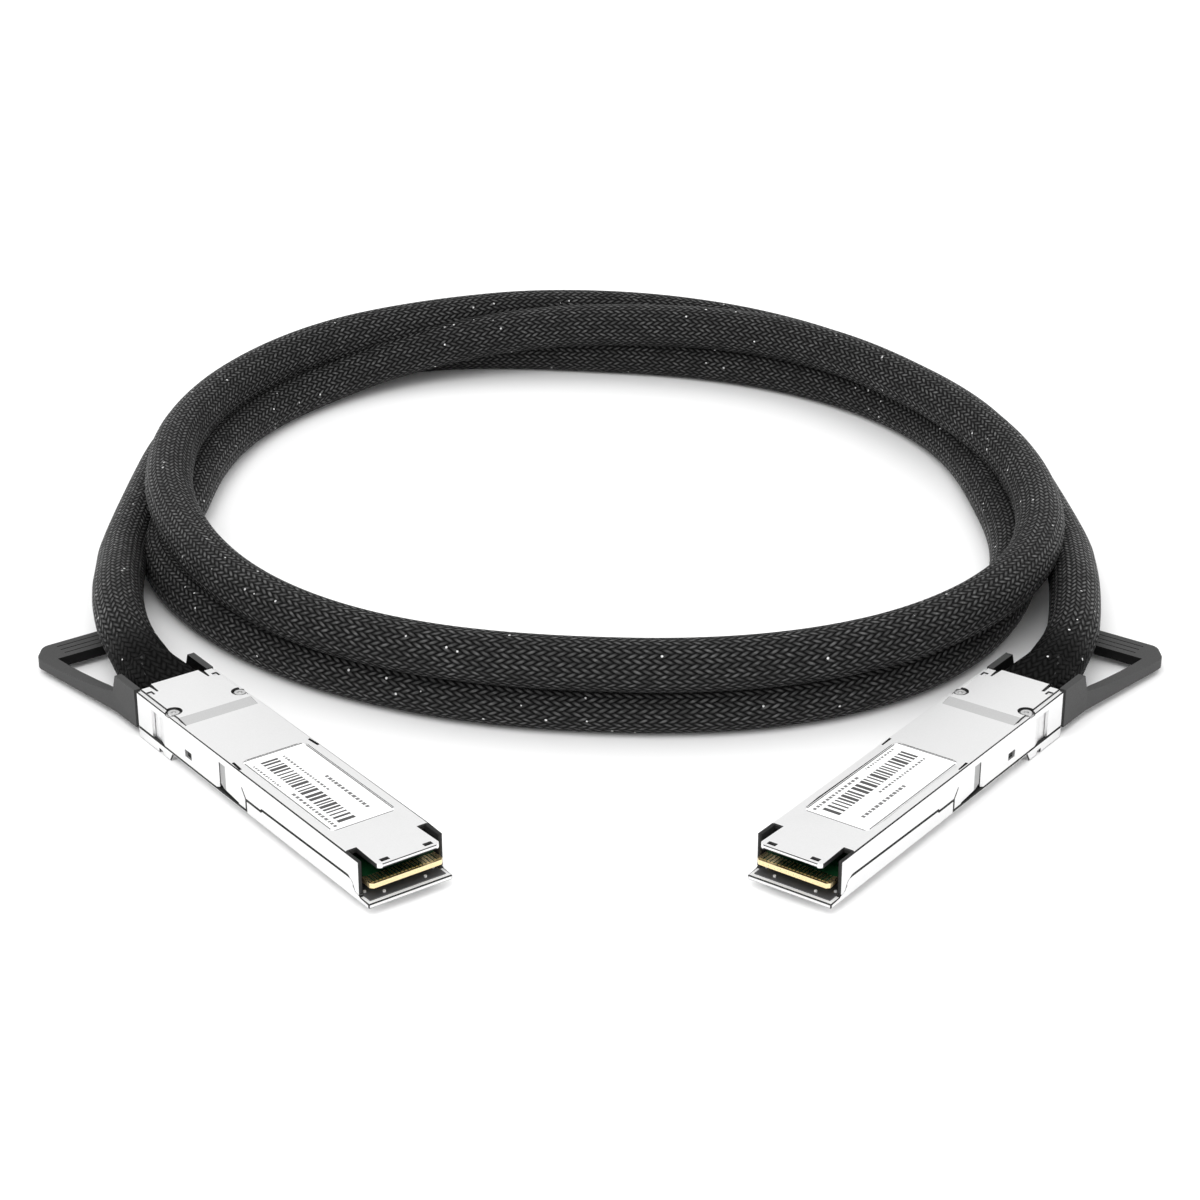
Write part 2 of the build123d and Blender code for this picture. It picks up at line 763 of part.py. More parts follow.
# Return springs, drawn at the length they have when the tab is pulled all the way
with BuildPart() as return_springs:
    spring_length = spring_end - spring_seat - spring_wire
    coil_radius = spring_radius - spring_wire / 2
    for side in (-1, 1):
        bends = []
        for i in range(spring_turns * spring_sides + 1):
            angle = math.tau * i / spring_sides
            along = spring_seat + spring_wire / 2 + spring_length * i / (spring_turns * spring_sides)
            across = side * spring_spread + coil_radius * math.cos(angle)
            bends.append((along, across, spring_height + coil_radius * math.sin(angle)))
        with BuildLine() as spring_path:
            Polyline(*bends)
        with BuildSketch(Plane(origin=spring_path.line @ 0, z_dir=spring_path.line % 0)):
            RegularPolygon(spring_wire / 2, 4)
        sweep(path=spring_path.line, transition=Transition.RIGHT)

# Two small screws that hold the shells together at the back
with BuildPart() as shell_screws:
    head_base = pad_top - screw_recess_depth
    for side in (-1, 1):
        with BuildSketch(Plane.XY.offset(head_base)):
            with Locations((screw_place, side * screw_spread)):
                Circle(screw_head_radius)
        extrude(amount=screw_head_height)
        with BuildSketch(Plane.XY.offset(head_base)):
            with Locations((screw_place, side * screw_spread)):
                Circle(screw_radius)
        extrude(amount=-screw_length)
        with BuildSketch(Plane.XY.offset(head_base + screw_head_height)):
            with Locations((screw_place, side * screw_spread)):
                RegularPolygon(screw_socket, 6)
        extrude(amount=-screw_head_height / 2, mode=Mode.SUBTRACT)

# Blank paper label in its recess
with BuildPart() as label:
    with BuildSketch(Plane.XY.offset(roof_top - label_recess)):
        with Locations((label_start + label_length / 2, 0)):
            RectangleRounded(
                label_length - 2 * clearance,
                label_width - 2 * clearance,
                label_corner - clearance,
            )
    extrude(amount=label_thickness)

plug_pieces = {
    "top_shell": top_shell,
    "bottom_shell": bottom_shell,
    "paddle_card": paddle_card,
    "card_contacts": card_contacts,
    "memory_chip": memory_chip,
    "card_insulator": card_insulator,
    "twinax_pairs": twinax_pairs,
    "wire_mold": wire_mold,
    "crimp_ring": crimp_ring,
    "strain_relief": strain_relief,
    "latch_slider": latch_slider,
    "pull_tab": pull_tab,
    "return_springs": return_springs,
    "shell_screws": shell_screws,
    "label": label,
}
plug_places = {
    "left": Location((-plug_spread, plug_back, 0), (0, 0, toe_in - 90)),
    "right": Location((plug_spread, plug_back, 0), (0, 0, -90 - toe_in)),
}
for side, place in plug_places.items():
    for piece_name, piece in plug_pieces.items():
        placed = piece.part.moved(place)
        placed.label = f"{side}_{piece_name}"
        export_step(placed, f"parts/{side}_{piece_name}.step")


def coil_point(turn, offset):
    """A point of the coil's oval, turn degrees clockwise from its left end and offset outwards."""
    angle = math.radians(180 - turn)
    c, s = math.cos(angle), math.sin(angle)
    grid = abs(c / coil_half_width) ** coil_power + abs(s / coil_half_depth) ** coil_power
    reach = grid ** (-1 / coil_power) - coil_skew * math.sin(2 * angle) + offset
    return (coil_centre[0] + reach * c, coil_centre[1] + reach * s)


def coil_wall(offsets, way):
    """One wall of the coil: points all round it, offset as the list says, outwards or inwards."""
    wall = []
    for i in range(coil_points):
        place = i * len(offsets) / coil_points
        before = offsets[int(place)]
        after = offsets[(int(place) + 1) % len(offsets)]
        wall.append(coil_point(360 * i / coil_points, way * (before + (after - before) * (place % 1))))
    return wall


# Outer shape of the coiled cable
with BuildPart() as cable_coil:
    with BuildSketch(Plane.XY):
        with BuildLine():
            Polyline(*coil_wall(coil_outside, 1), close=True)
        make_face()
        with BuildLine(mode=Mode.PRIVATE) as hole:
            Polyline(*coil_wall(coil_inside, -1), close=True)
        make_face(hole.line, mode=Mode.SUBTRACT)
    extrude(amount=coil_height)
    chamfer(cable_coil.edges().group_by(Axis.Z)[-1], length=coil_edge)

cable_coil.part.label = "cable_coil"
export_step(cable_coil.part, "parts/cable_coil.step")


def lead_path(place, points, across):
    """The lead's points in the object's frame, from the strain relief to the coil."""
    behind = [(-relief_length, 0, relief_end_height)]
    behind += [(-back, across * aside, height) for back, aside, height in points]
    return [(place * Location(point)).position for point in behind]


def corner_radii(points):
    """The largest arc that the two runs at each corner allow."""
    radii = []
    for before, corner, after in zip(points, points[1:], points[2:]):
        turn = math.radians((corner - before).get_angle(after - corner))
        shorter = min((corner - before).length, (after - corner).length)
        radii.append(0.45 * shorter / math.tan(turn / 2))
    return radii


lead_routes = {
    "left": lead_path(plug_places["left"], left_lead_points, 1),
    "right": lead_path(plug_places["right"], right_lead_points, -1),
}
# Twelve sides with the round section's area keep the leads plain
section_area = math.pi * cable_diameter**2 / 4
section_angle = math.tau / cable_sides
section_radius = math.sqrt(2 * section_area / cable_sides / math.sin(section_angle))
for side, route in lead_routes.items():
    radii = corner_radii(route)
    with BuildPart() as cable_lead:
        with BuildLine() as lead_line:
            FilletPolyline(*route, radius=radii)
        with BuildSketch(Plane(origin=lead_line.line @ 0, z_dir=lead_line.line % 0)):
            RegularPolygon(section_radius, cable_sides)
        sweep(path=lead_line.line)
    cable_lead.part.label = f"{side}_cable_lead"
    export_step(cable_lead.part, f"parts/{side}_cable_lead.step")
    print(side, "lead bend radii", [round(radius, 1) for radius in radii])
    expected = section_area * sum(edge.length for edge in lead_line.line.edges())
    print(side, "lead volume", round(cable_lead.part.volume), "section by length", round(expected))
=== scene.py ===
import json
import math
import random

import bmesh
import bpy
import numpy as np
from bpy.props import FloatProperty, FloatVectorProperty, IntProperty, PointerProperty
from mathutils import Matrix, Vector


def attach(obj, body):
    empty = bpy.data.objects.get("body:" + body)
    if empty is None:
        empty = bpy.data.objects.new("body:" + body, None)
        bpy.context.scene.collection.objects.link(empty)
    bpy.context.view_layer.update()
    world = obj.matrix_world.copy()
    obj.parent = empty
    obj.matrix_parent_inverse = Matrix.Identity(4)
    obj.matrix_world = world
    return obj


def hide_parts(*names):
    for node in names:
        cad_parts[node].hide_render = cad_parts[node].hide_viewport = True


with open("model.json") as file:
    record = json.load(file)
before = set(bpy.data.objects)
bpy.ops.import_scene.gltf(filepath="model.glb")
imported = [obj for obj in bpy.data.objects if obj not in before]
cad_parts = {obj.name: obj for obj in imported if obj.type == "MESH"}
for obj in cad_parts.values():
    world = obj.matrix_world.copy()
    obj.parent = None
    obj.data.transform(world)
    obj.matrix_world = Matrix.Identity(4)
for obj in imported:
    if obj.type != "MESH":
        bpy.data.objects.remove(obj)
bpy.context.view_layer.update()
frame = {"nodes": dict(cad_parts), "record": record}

bl_info = {
    "name": "Direct attach copper cable",
    "version": (1, 0, 0),
    "blender": (4, 5, 0),
    "location": "3D View > Sidebar > Cable",
    "description": "Dresses the packed model of a direct attach copper cable",
    "category": "Object",
}

MM = 0.001
SIDES = ("left", "right")
FIXED = "cable_assembly"
LATCHES = {"left": "left_latch", "right": "right_latch"}

# Lengths that the plug has in the model, in millimetres along the plug, across it and up
NOSE_REACH = 88.4
SHELL_HALF = 9.175
SIDE_FRONT = 85.3
TONGUE_ROOT = 80.6
ROOF = 10.3
PAD_SLOPE = (16.0, 19.1)
ARM_RAMP = (32.8, 36.1)
FLOOR = 2.8
CARD_HALF = 7.95
CARD_FRONT = 87.5
LABEL_TOP = 10.22
# The back wall, and the stretch of the lid's side where it steps in for the latch
BACK_WALL = 1.8
JOG = (5, 12)
JOG_HALF = 7.5
# How far out from the middle the notches, the lip's bosses, the rims and the arms' ramps are
NOTCH_HALF = 7.2
BOSS_HALF = 7.9
RIM_HALF = 8.3
RAMP_HALF = 8.4

# The gold rim of the card: its depth at the front, and its reach back and width along each side
RIM_DEPTH = 0.62
RIM_REACH = 3.4
RIM_WIDTH = 0.5

# The film, dark as painted shade, ends where the lip's painted pale edge begins: a point and the
# direction of each cut
FILM_FRONT = 87.4
FILM_HALF = 8.28
FILM_ENDS = (
    ((FILM_FRONT, 0, 0), (1, 0, 0)),
    ((0, FILM_HALF, 0), (0, 1, 0)),
    ((0, -FILM_HALF, 0), (0, -1, 0)),
)

# The finishes of a shell, in the order of its material slots
PLATED, EDGE, SLOPE, INSIDE, TOP, RAMP, LIP = range(7)

# The label's field of bars: from, to, distance across and height
LABEL_BARS = (41.5, 71.0, -2.4, 3.8)
BAR_WIDTHS = (0.5, 0.7, 1.0)
BAR_GAPS = (0.4, 0.5, 0.7)
# Rows of plain dashes on the label: from, to, distance across, height and longest dash
LABEL_ROWS = [
    (41.5, 58.5, 0.9, 0.55, 0.9),
    (53.3, 68.7, 3.4, 0.8, 1.1),
    (41.9, 52.1, -6.0, 0.5, 0.8),
    (55.8, 71.6, -5.5, 0.7, 1.0),
]
# The painted shadow line round the label: its places along and across, its middle, its two lengths and
# its width
FRAME_ALONG = (39.15, 72.65)
FRAME_ACROSS = (-6.85, 6.85)
FRAME_MIDDLE = 55.9
FRAME_LENGTH = 31.8
FRAME_DEPTH = 13.0
FRAME_LINE = 0.3
# How thick the print is and how far its middle is above the label, both in metres
PRINT_THICKNESS = 1.6e-5
PRINT_LIFT = 5e-6

# The grip's grooves, from and to along the tab and out from its middle, and the front of its bar
GRIP = (-43.2, -36.3, 7.05)
TAB_BAR = -36.1
# How far the tab's outer corners and the screws' edges are rounded
TAB_CORNER = 1.6
SCREW_EDGE = 0.1

# The sleeve over a strain relief, at the plug and at the cable: radius, height of its middle, and
# the heights where it is flattened
RELIEF_BASE = (7.45, 5.3, 1.05, 9.55)
RELIEF_TIP = (6.05, 7.0, 0.85, 13.2)
RELIEF_LENGTH = 12.0
RELIEF_STEPS = 8
RELIEF_GAP = 0.1
# How much wider than the cable the sleeve is at each of the cable's first rings
OVERLAP = (1.075, 1.07, 1.05, 1.02, 1.004)

# The braid's pattern: its height and the size of its patches and of its flecks of painted glint in
# millimetres, and the threads that show across one strand
BRAID_DEPTH = 0.7
SHINE_PATCH = 3.0
FLECK_PATCH = 14.0
FLECK_SPACING = 2.6
STRAND_THREADS = 4
# How far the pairs inside swell the cable, as a part of its radius, and their twist in each metre
SWELL = 0.003
SWELL_TWIST = (60, 37)

# Slots, pockets and holes of the lid and its tongue, coloured black as painted shade: from and to along
# it, out from its middle and up
CAVITIES = [
    ((11.0, 14.7), (5.7, 9.3), (9.95, 10.69)),
    ((-0.1, 3.1), (5.6, 6.2), (10.2, 10.65)),
    ((38.2, 41.8), (8.3, 8.9), (9.8, 10.28)),
    ((32.2, 41.1), (8.0, 9.17), (2.3, 3.5)),
    ((42.1, 44.0), (8.0, 9.17), (4.7, 7.0)),
    ((17.6, 20.4), (8.5, 9.17), (4.0, 7.2)),
    ((84.0, 88.0), (3.8, 5.6), (9.0, 10.28)),
]

# The cable's own points behind each plug: distance back, distance across and height
LEAD_POINTS = {
    "left": [
        (12.0, 0.0, 7.0),
        (24.0, 1.4, 9.4),
        (36.0, 5.6, 10.2),
        (48.0, 11.4, 9.8),
        (60.0, 18.3, 8.1),
        (74.0, 26.2, 6.2),
    ],
    "right": [
        (12.0, 0.0, 7.0),
        (24.0, 1.4, 9.4),
        (36.0, 7.0, 9.8),
        (48.0, 13.3, 9.7),
        (60.0, 20.2, 8.2),
        (74.0, 28.7, 6.2),
    ],
}
LEAD_ACROSS = {"left": 1, "right": -1}

# The oval that the turns follow, and how far each part of them stands from it and from the floor:
# degrees clockwise from the left end, distance outwards and height
COIL_MIDDLE = (0.0, 122.345)
COIL_HALF_WIDTH = 98.0
COIL_HALF_DEPTH = 106.0
COIL_SKEW = 4.5
COIL_POWER = 2.28
COIL_START = 12
COIL_END = 888
COIL_STEP = 6
# The columns of the turns' table after the degrees
OUTWARD, HEIGHT = 1, 2
COIL_TURNS = [
    (0, 12.7, 5.6),
    (12, 9.4, 5.9),
    (25, 8.9, 6.4),
    (45, 9.4, 6.2),
    (60, 7.6, 5.7),
    (75, 4.0, 5.6),
    (90, 1.0, 5.6),
    (120, 0.0, 5.6),
    (150, -0.5, 5.6),
    (180, -3.0, 5.6),
    (205, -2.5, 5.6),
    (225, -1.2, 5.6),
    (250, 0.0, 5.6),
    (290, 0.4, 5.6),
    (310, 2.4, 5.6),
    (322, 4.6, 5.6),
    (334, 6.8, 5.6),
    (342, 7.2, 5.6),
    (350, 5.4, 5.6),
    (360, 1.4, 5.6),
    (368, 0.0, 5.6),
    (378, -1.1, 5.6),
    (390, -1.7, 5.6),
    (404, -2.0, 5.8),
    (420, -2.2, 8.6),
    (435, -3.5, 12.5),
    (450, -3.5, 14.8),
    (478, -2.4, 15.8),
    (490, -3.4, 15.8),
    (502, -4.0, 15.8),
    (512, -3.0, 15.7),
    (522, -1.2, 15.4),
    (540, 2.0, 14.7),
    (565, 2.6, 15.1),
    (590, 2.0, 15.8),
    (630, 2.6, 16.1),
    (660, 3.0, 15.7),
    (684, 2.9, 15.3),
    (700, 3.5, 15.1),
    (714, 4.5, 15.0),
    (726, 4.3, 15.0),
    (740, 2.9, 15.0),
    (760, 1.6, 15.2),
    (777, 1.6, 15.6),
    (788, 3.2, 15.4),
    (800, 7.4, 14.9),
    (815, 10.6, 13.7),
    (828, 11.6, 12.0),
    (840, 10.4, 10.5),
    (855, 9.3, 8.6),
    (870, 9.4, 7.2),
    (882, 8.6, 6.2),
    (900, 8.4, 5.6),
]
# Points of the smooth line for each point of the route
ROUTE_STEPS = 9

# The angle in degrees over which a finished piece shades as an edge
SHARP_ANGLE = 28

# The floor's width, and the lamp's width, place and aim, in metres
FLOOR_WIDTH = 12
LAMP_WIDTH = 0.7
LAMP_PLACE = (-0.2, -0.55, 0.9)
LAMP_AIM = (0, 0.1, 0)


def linear(hex_colour):
    """An sRGB hex colour as the linear colour that shaders take."""
    channels = [int(hex_colour[i : i + 2], 16) / 255 for i in (1, 3, 5)]
    return [c / 12.92 if c <= 0.04045 else ((c + 0.055) / 1.055) ** 2.4 for c in channels] + [1.0]


def plug_frame(side):
    """The matrix from a plug's own frame, in metres from its back face, to the object's."""
    nose = next(m for m in frame["record"]["mounts"] if m["name"] == f"{side}_plug_nose")
    forward = Vector(nose["axis"]).normalized()
    back = Vector(nose["pos_m"]) - forward * NOSE_REACH * MM
    across = Vector((0, 0, 1)).cross(forward)
    turned = Matrix((forward, across, Vector((0, 0, 1)))).transposed().to_4x4()
    return Matrix.Translation((back.x, back.y, 0)) @ turned


def choose(piece):
    """Leaves one object selected and active."""
    bpy.ops.object.select_all(action="DESELECT")
    piece.select_set(True)
    bpy.context.view_layer.objects.active = piece


def add_node(tree, kind, settings=None, inputs=None):
    """Adds a node, sets what it is told and links the sockets that it is given."""
    node = tree.nodes.new(kind)
    for name, value in (settings or {}).items():
        setattr(node, name, value)
    for name, value in (inputs or {}).items():
        if isinstance(value, bpy.types.NodeSocket):
            tree.links.new(value, node.inputs[name])
        else:
            node.inputs[name].default_value = value
    return node


def new_material(name, hex_colour, roughness, metallic=0.0, ior=1.5):
    """A material with one Principled shader, and that shader's node."""
    material = bpy.data.materials.new(name)
    material.use_nodes = True
    shader = material.node_tree.nodes["Principled BSDF"]
    shader.inputs["Base Color"].default_value = linear(hex_colour)
    shader.inputs["Roughness"].default_value = roughness
    shader.inputs["Metallic"].default_value = metallic
    if not metallic:
        shader.inputs["IOR"].default_value = ior
    return material, shader


def grained(material, shader, grain, depth, tint, rough_range=None):
    """Gives a finish a fine grain in millimetres: a bump, a slight change of colour and of gloss."""
    tree = material.node_tree
    place = add_node(tree, "ShaderNodeTexCoord")
    noise = add_node(
        tree,
        "ShaderNodeTexNoise",
        inputs={"Vector": place.outputs["Object"], "Scale": 1 / (grain * MM), "Detail": 3.0},
    )
    bump = add_node(
        tree,
        "ShaderNodeBump",
        inputs={"Height": noise.outputs["Fac"], "Distance": depth * MM, "Strength": 1.0},
    )
    tree.links.new(bump.outputs["Normal"], shader.inputs["Normal"])
    plain = list(shader.inputs["Base Color"].default_value)
    ramp = add_node(tree, "ShaderNodeValToRGB", inputs={"Fac": noise.outputs["Fac"]})
    ramp.color_ramp.elements[0].position = 0.35
    ramp.color_ramp.elements[1].position = 0.65
    ramp.color_ramp.elements[0].color = [c * (1 - tint) for c in plain[:3]] + [1.0]
    ramp.color_ramp.elements[1].color = [min(c * (1 + tint), 1) for c in plain[:3]] + [1.0]
    tree.links.new(ramp.outputs["Color"], shader.inputs["Base Color"])
    if rough_range:
        spread = add_node(
            tree,
            "ShaderNodeMapRange",
            inputs={
                "Value": noise.outputs["Fac"],
                "From Min": 0.3,
                "From Max": 0.7,
                "To Min": rough_range[0],
                "To Max": rough_range[1],
            },
        )
        tree.links.new(spread.outputs["Result"], shader.inputs["Roughness"])
    return material


def nickel_plate():
    # Zinc alloy, die cast and satin nickel plated: an even, pale metal with almost no texture
    material, shader = new_material("zinc_nickel_plated", "#E9E9E9", 0.38, metallic=1.0)
    return grained(material, shader, 0.35, 0.0015, 0.012, (0.34, 0.42))


def nickel_top_painted_tone():
    # A copy of the same plating for the lid's upper face, its colour and gloss set apart from the
    # sides' as painted shade, so that the top reads a shade greyer; as even
    material, shader = new_material("zinc_nickel_top_painted_tone", "#F1F1F1", 0.5, metallic=1.0)
    return grained(material, shader, 0.3, 0.002, 0.015, (0.46, 0.54))


def nickel_edge():
    # The same plating on the casting's rounded edges, coloured dark as painted shade so that they read
    # as thin lines
    material, shader = new_material("zinc_nickel_edge_painted_shade", "#3C3C3C", 0.5, metallic=1.0)
    return grained(material, shader, 0.3, 0.002, 0.08)


def nickel_ramp(name, hex_colour, roughness=0.6):
    # The same plating, dull and even, in tones set apart: grey as painted shade on the slopes and
    # ramps, pale as painted light on the lip
    material, shader = new_material(name, hex_colour, roughness, metallic=1.0)
    return grained(material, shader, 0.15, 0.004, 0.04)


def nickel_inside_painted_shade():
    # The casting's unpolished inner walls, coloured near black as painted shade
    material, shader = new_material("zinc_inside_painted_shade", "#161616", 0.7)
    return grained(material, shader, 0.3, 0.004, 0.15)


def stamped_steel():
    # Stainless strip, rolled and stamped: as pale as the plating, with a fine rolling grain
    material, shader = new_material("stainless_strip_rolled", "#ECECEC", 0.5, metallic=1.0)
    return grained(material, shader, 0.25, 0.001, 0.012, (0.46, 0.54))


def spring_wire():
    # Music wire, drawn and coiled: bright grey metal
    material, shader = new_material("spring_wire_drawn", "#A9A9A6", 0.28, metallic=1.0)
    return grained(material, shader, 0.1, 0.001, 0.03)


def screw_steel():
    # Small steel screws, nickel plated: a little darker than the shell around them
    material, shader = new_material("screw_nickel_plated", "#CFCFCF", 0.32, metallic=1.0)
    return grained(material, shader, 0.2, 0.001, 0.03)


def card_mask():
    # Glass epoxy board under dark green solder mask: a smooth, slightly glossy green
    material, shader = new_material("board_solder_mask", "#0D3A1E", 0.35)
    return grained(material, shader, 0.8, 0.003, 0.25, (0.28, 0.42))


def contact_gold():
    # Copper pads with hard gold plating: pale, warm and slightly worn
    material, shader = new_material("hard_gold_plated", "#F2DDAE", 0.3, metallic=1.0)
    return grained(material, shader, 0.3, 0.001, 0.05, (0.24, 0.36))


def chip_resin():
    # Moulded epoxy chip body: matt near black
    material, shader = new_material("epoxy_chip_moulded", "#1C1C1D", 0.55)
    return grained(material, shader, 0.1, 0.002, 0.1)


def painted_shade_film():
    # A sheet slit and punched, in an even dark grey with a dull sheen: painted shade for the shadowed
    # mouth under the card
    material, shader = new_material("film_painted_shade", "#484849", 0.5, ior=1.6)
    return grained(material, shader, 0.5, 0.001, 0.05, (0.45, 0.55))


def pair_jacket():
    # Extruded polyolefin over each pair: a milky blue grey
    material, shader = new_material("pair_jacket_extruded", "#8FA0AE", 0.4)
    return grained(material, shader, 0.4, 0.002, 0.05)


def mold_resin():
    # Hot melt resin that is moulded over the pairs: cloudy amber, softly glossy
    material, shader = new_material("hot_melt_moulded", "#B59A66", 0.4)
    return grained(material, shader, 0.9, 0.004, 0.12)


def crimp_copper():
    # Copper strip, rolled: warm metal with faint drawing marks
    material, shader = new_material("copper_strip_rolled", "#C98D6B", 0.35, metallic=1.0)
    return grained(material, shader, 0.3, 0.001, 0.06)


def relief_rubber():
    # Moulded elastomer: deep black with a dull, even surface
    material, shader = new_material("elastomer_moulded", "#0C0C0C", 0.6)
    return grained(material, shader, 0.5, 0.01, 0.15, (0.5, 0.65))


def tab_nylon():
    # Moulded nylon with a fine sparked texture: dark grey where light falls on it
    material, shader = new_material("nylon_sparked", "#303030", 0.6, ior=1.53)
    return grained(material, shader, 0.25, 0.006, 0.06, (0.55, 0.7))


def tab_inside_painted_shade():
    # The same nylon inside the loop, coloured deep black as painted shade
    material, shader = new_material("nylon_inside_painted_shade", "#050505", 0.5, ior=1.25)
    return grained(material, shader, 0.3, 0.002, 0.05)


def label_paper():
    # Coated polyester label: bright white and smooth
    material, shader = new_material("label_coated_white", "#FBFBFB", 0.55)
    return grained(material, shader, 0.6, 0.001, 0.01)


def ink(name, hex_colour):
    # Thermal transfer ink: a thin, even, slightly glossy print
    material, shader = new_material(name, hex_colour, 0.5)
    return grained(material, shader, 0.12, 0.0005, 0.12)


def braid_material(length_cells):
    """The cable's sleeve. The map's first number counts strands round it, and the second along it."""
    # Polyester filament, braided two over and two under: near black strands of fine threads, with
    # painted shade darkening the gaps between them, a painted highlight on their tops here and there,
    # and a few pale flecks of painted glint
    material, shader = new_material("polyester_braid_black_painted_light", "#1A1A1A", 0.4)
    tree = material.node_tree

    def maths(operation, first, second=0.0, third=0.0):
        inputs = {0: first, 1: second}
        if operation == "MULTIPLY_ADD":
            inputs[2] = third
        return add_node(tree, "ShaderNodeMath", {"operation": operation}, inputs).outputs[0]

    def spread(value, start, end, low, high):
        """The value's stretch from start to end, as low to high."""
        return add_node(
            tree,
            "ShaderNodeMapRange",
            {"interpolation_type": "SMOOTHSTEP"},
            {"Value": value, "From Min": start, "From Max": end, "To Min": low, "To Max": high},
        ).outputs["Result"]

    def noise(size):
        """An even noise with patches of about this many millimetres."""
        return add_node(
            tree,
            "ShaderNodeTexNoise",
            inputs={"Vector": place, "Scale": 1 / (size * MM), "Detail": 2.0},
        ).outputs["Fac"]

    place = add_node(tree, "ShaderNodeTexCoord").outputs["Object"]
    turns = add_node(tree, "ShaderNodeUVMap", {"uv_map": "strands"})
    parts = add_node(tree, "ShaderNodeSeparateXYZ", inputs={0: turns.outputs[0]})
    around = parts.outputs["X"]
    along = parts.outputs["Y"]
    first_way = maths("ADD", around, along)
    second_way = maths("SUBTRACT", around, along)
    first_part = maths("FRACT", first_way)
    second_part = maths("FRACT", second_way)
    first_cell = maths("FLOOR", first_way)
    second_cell = maths("FLOOR", second_way)
    crossing = maths("ADD", first_cell, second_cell)
    step = maths("FLOORED_MODULO", crossing, 4.0)
    over = maths("LESS_THAN", step, 2.0)
    under = maths("SUBTRACT", 1.0, over)
    half = maths("FLOORED_MODULO", step, 2.0)

    def strand(across, onward):
        """A strand's height where it lies over two others, and the threads that it is made of."""
        side = maths("SINE", maths("MULTIPLY", across, math.pi))
        reach = maths("MULTIPLY", maths("ADD", half, onward), math.pi / 2)
        arch = maths("MULTIPLY_ADD", maths("SINE", reach), 0.6, 0.4)
        threads = maths("SINE", maths("MULTIPLY", across, 2 * math.pi * STRAND_THREADS))
        height = maths("MULTIPLY", maths("POWER", side, 0.7), arch)
        return maths("MULTIPLY_ADD", maths("MULTIPLY", threads, arch), 0.07, height)

    first_height = strand(second_part, first_part)
    second_height = strand(first_part, second_part)
    relief = maths(
        "ADD", maths("MULTIPLY", first_height, over), maths("MULTIPLY", second_height, under)
    )
    # The sleeve is shrunk smooth over the first stretch behind each plug
    from_end = maths("MINIMUM", along, maths("SUBTRACT", length_cells, along))
    free = spread(from_end, 6.0, 14.0, 0.3, 1.0)
    woven = maths("MULTIPLY", relief, free)
    bump = add_node(
        tree,
        "ShaderNodeBump",
        inputs={"Height": woven, "Distance": BRAID_DEPTH * MM, "Strength": 1.0},
    )
    tree.links.new(bump.outputs["Normal"], shader.inputs["Normal"])
    # Wear and the twist of the threads make some strands shine more than others; the shine gives the
    # tops more gloss and also a painted highlight in their colour
    patchy = spread(noise(SHINE_PATCH), 0.3, 0.7, 0.3, 0.85)
    top = spread(woven, 0.5, 1.0, 0.0, 1.0)
    pair = add_node(tree, "ShaderNodeCombineXYZ", inputs={0: first_cell, 1: second_cell})
    luck = add_node(tree, "ShaderNodeTexWhiteNoise", inputs={"Vector": pair.outputs[0]})
    uneven = maths("MULTIPLY_ADD", luck.outputs["Value"], 0.9, 0.35)
    glint = maths("MULTIPLY", maths("MULTIPLY", top, patchy), uneven)
    tree.links.new(spread(glint, 0.0, 1.0, 0.02, 0.4), shader.inputs["Specular IOR Level"])
    # Painted shade: the colour darkens from the strand tops down into the gaps
    shade = add_node(tree, "ShaderNodeValToRGB", inputs={"Fac": woven})
    shade.color_ramp.elements[0].position = 0.1
    shade.color_ramp.elements[0].color = linear("#060606")
    shade.color_ramp.elements[1].position = 0.9
    shade.color_ramp.elements[1].color = linear("#363636")
    # Painted highlight: the colour lightens where the tops glint
    lit = add_node(
        tree,
        "ShaderNodeMix",
        {"data_type": "RGBA"},
        {"Factor": glint, "A": shade.outputs["Color"], "B": linear("#626262")},
    )
    # Flecks of painted glint: a pale dot in the middle of a few cells, where a slow noise lets them
    # gather
    cells = add_node(
        tree, "ShaderNodeTexVoronoi", inputs={"Vector": place, "Scale": 1 / (FLECK_SPACING * MM)}
    )
    chance = add_node(tree, "ShaderNodeSeparateColor", inputs={0: cells.outputs["Color"]})
    near = maths("LESS_THAN", cells.outputs["Distance"], 0.11)
    crowded = maths("GREATER_THAN", noise(FLECK_PATCH), 0.47)
    fleck = maths("MULTIPLY", near, maths("GREATER_THAN", chance.outputs[0], 0.72))
    speckled = add_node(
        tree,
        "ShaderNodeMix",
        {"data_type": "RGBA"},
        {
            "Factor": maths("MULTIPLY", fleck, crowded),
            "A": lit.outputs["Result"],
            "B": linear("#E8E8E8"),
        },
    )
    tree.links.new(speckled.outputs["Result"], shader.inputs["Base Color"])
    return material


def merged_copy(node):
    """A copy of a CAD node with its loose triangles merged into whole faces."""
    piece = bpy.data.objects.new(f"{node}_finished", frame["nodes"][node].data.copy())
    bpy.context.scene.collection.objects.link(piece)
    choose(piece)
    bpy.ops.object.mode_set(mode="EDIT")
    bpy.ops.mesh.select_all(action="SELECT")
    bpy.ops.mesh.remove_doubles(threshold=0.001 * MM)
    bpy.ops.mesh.dissolve_limited(angle_limit=math.radians(1.0))
    bpy.ops.object.mode_set(mode="OBJECT")
    piece.data.materials.clear()
    return piece


def cut_across(piece, side, point, normal, cut_off=False):
    """Cuts a piece along a plane of the plug, in its millimetres, and may drop what lies past it."""
    place = plug_frame(side)
    choose(piece)
    bpy.ops.object.mode_set(mode="EDIT")
    bpy.ops.mesh.select_all(action="SELECT")
    bpy.ops.mesh.bisect(
        plane_co=place @ (Vector(point) * MM),
        plane_no=place.to_3x3() @ Vector(normal),
        use_fill=cut_off,
        clear_outer=cut_off,
    )
    bpy.ops.object.mode_set(mode="OBJECT")


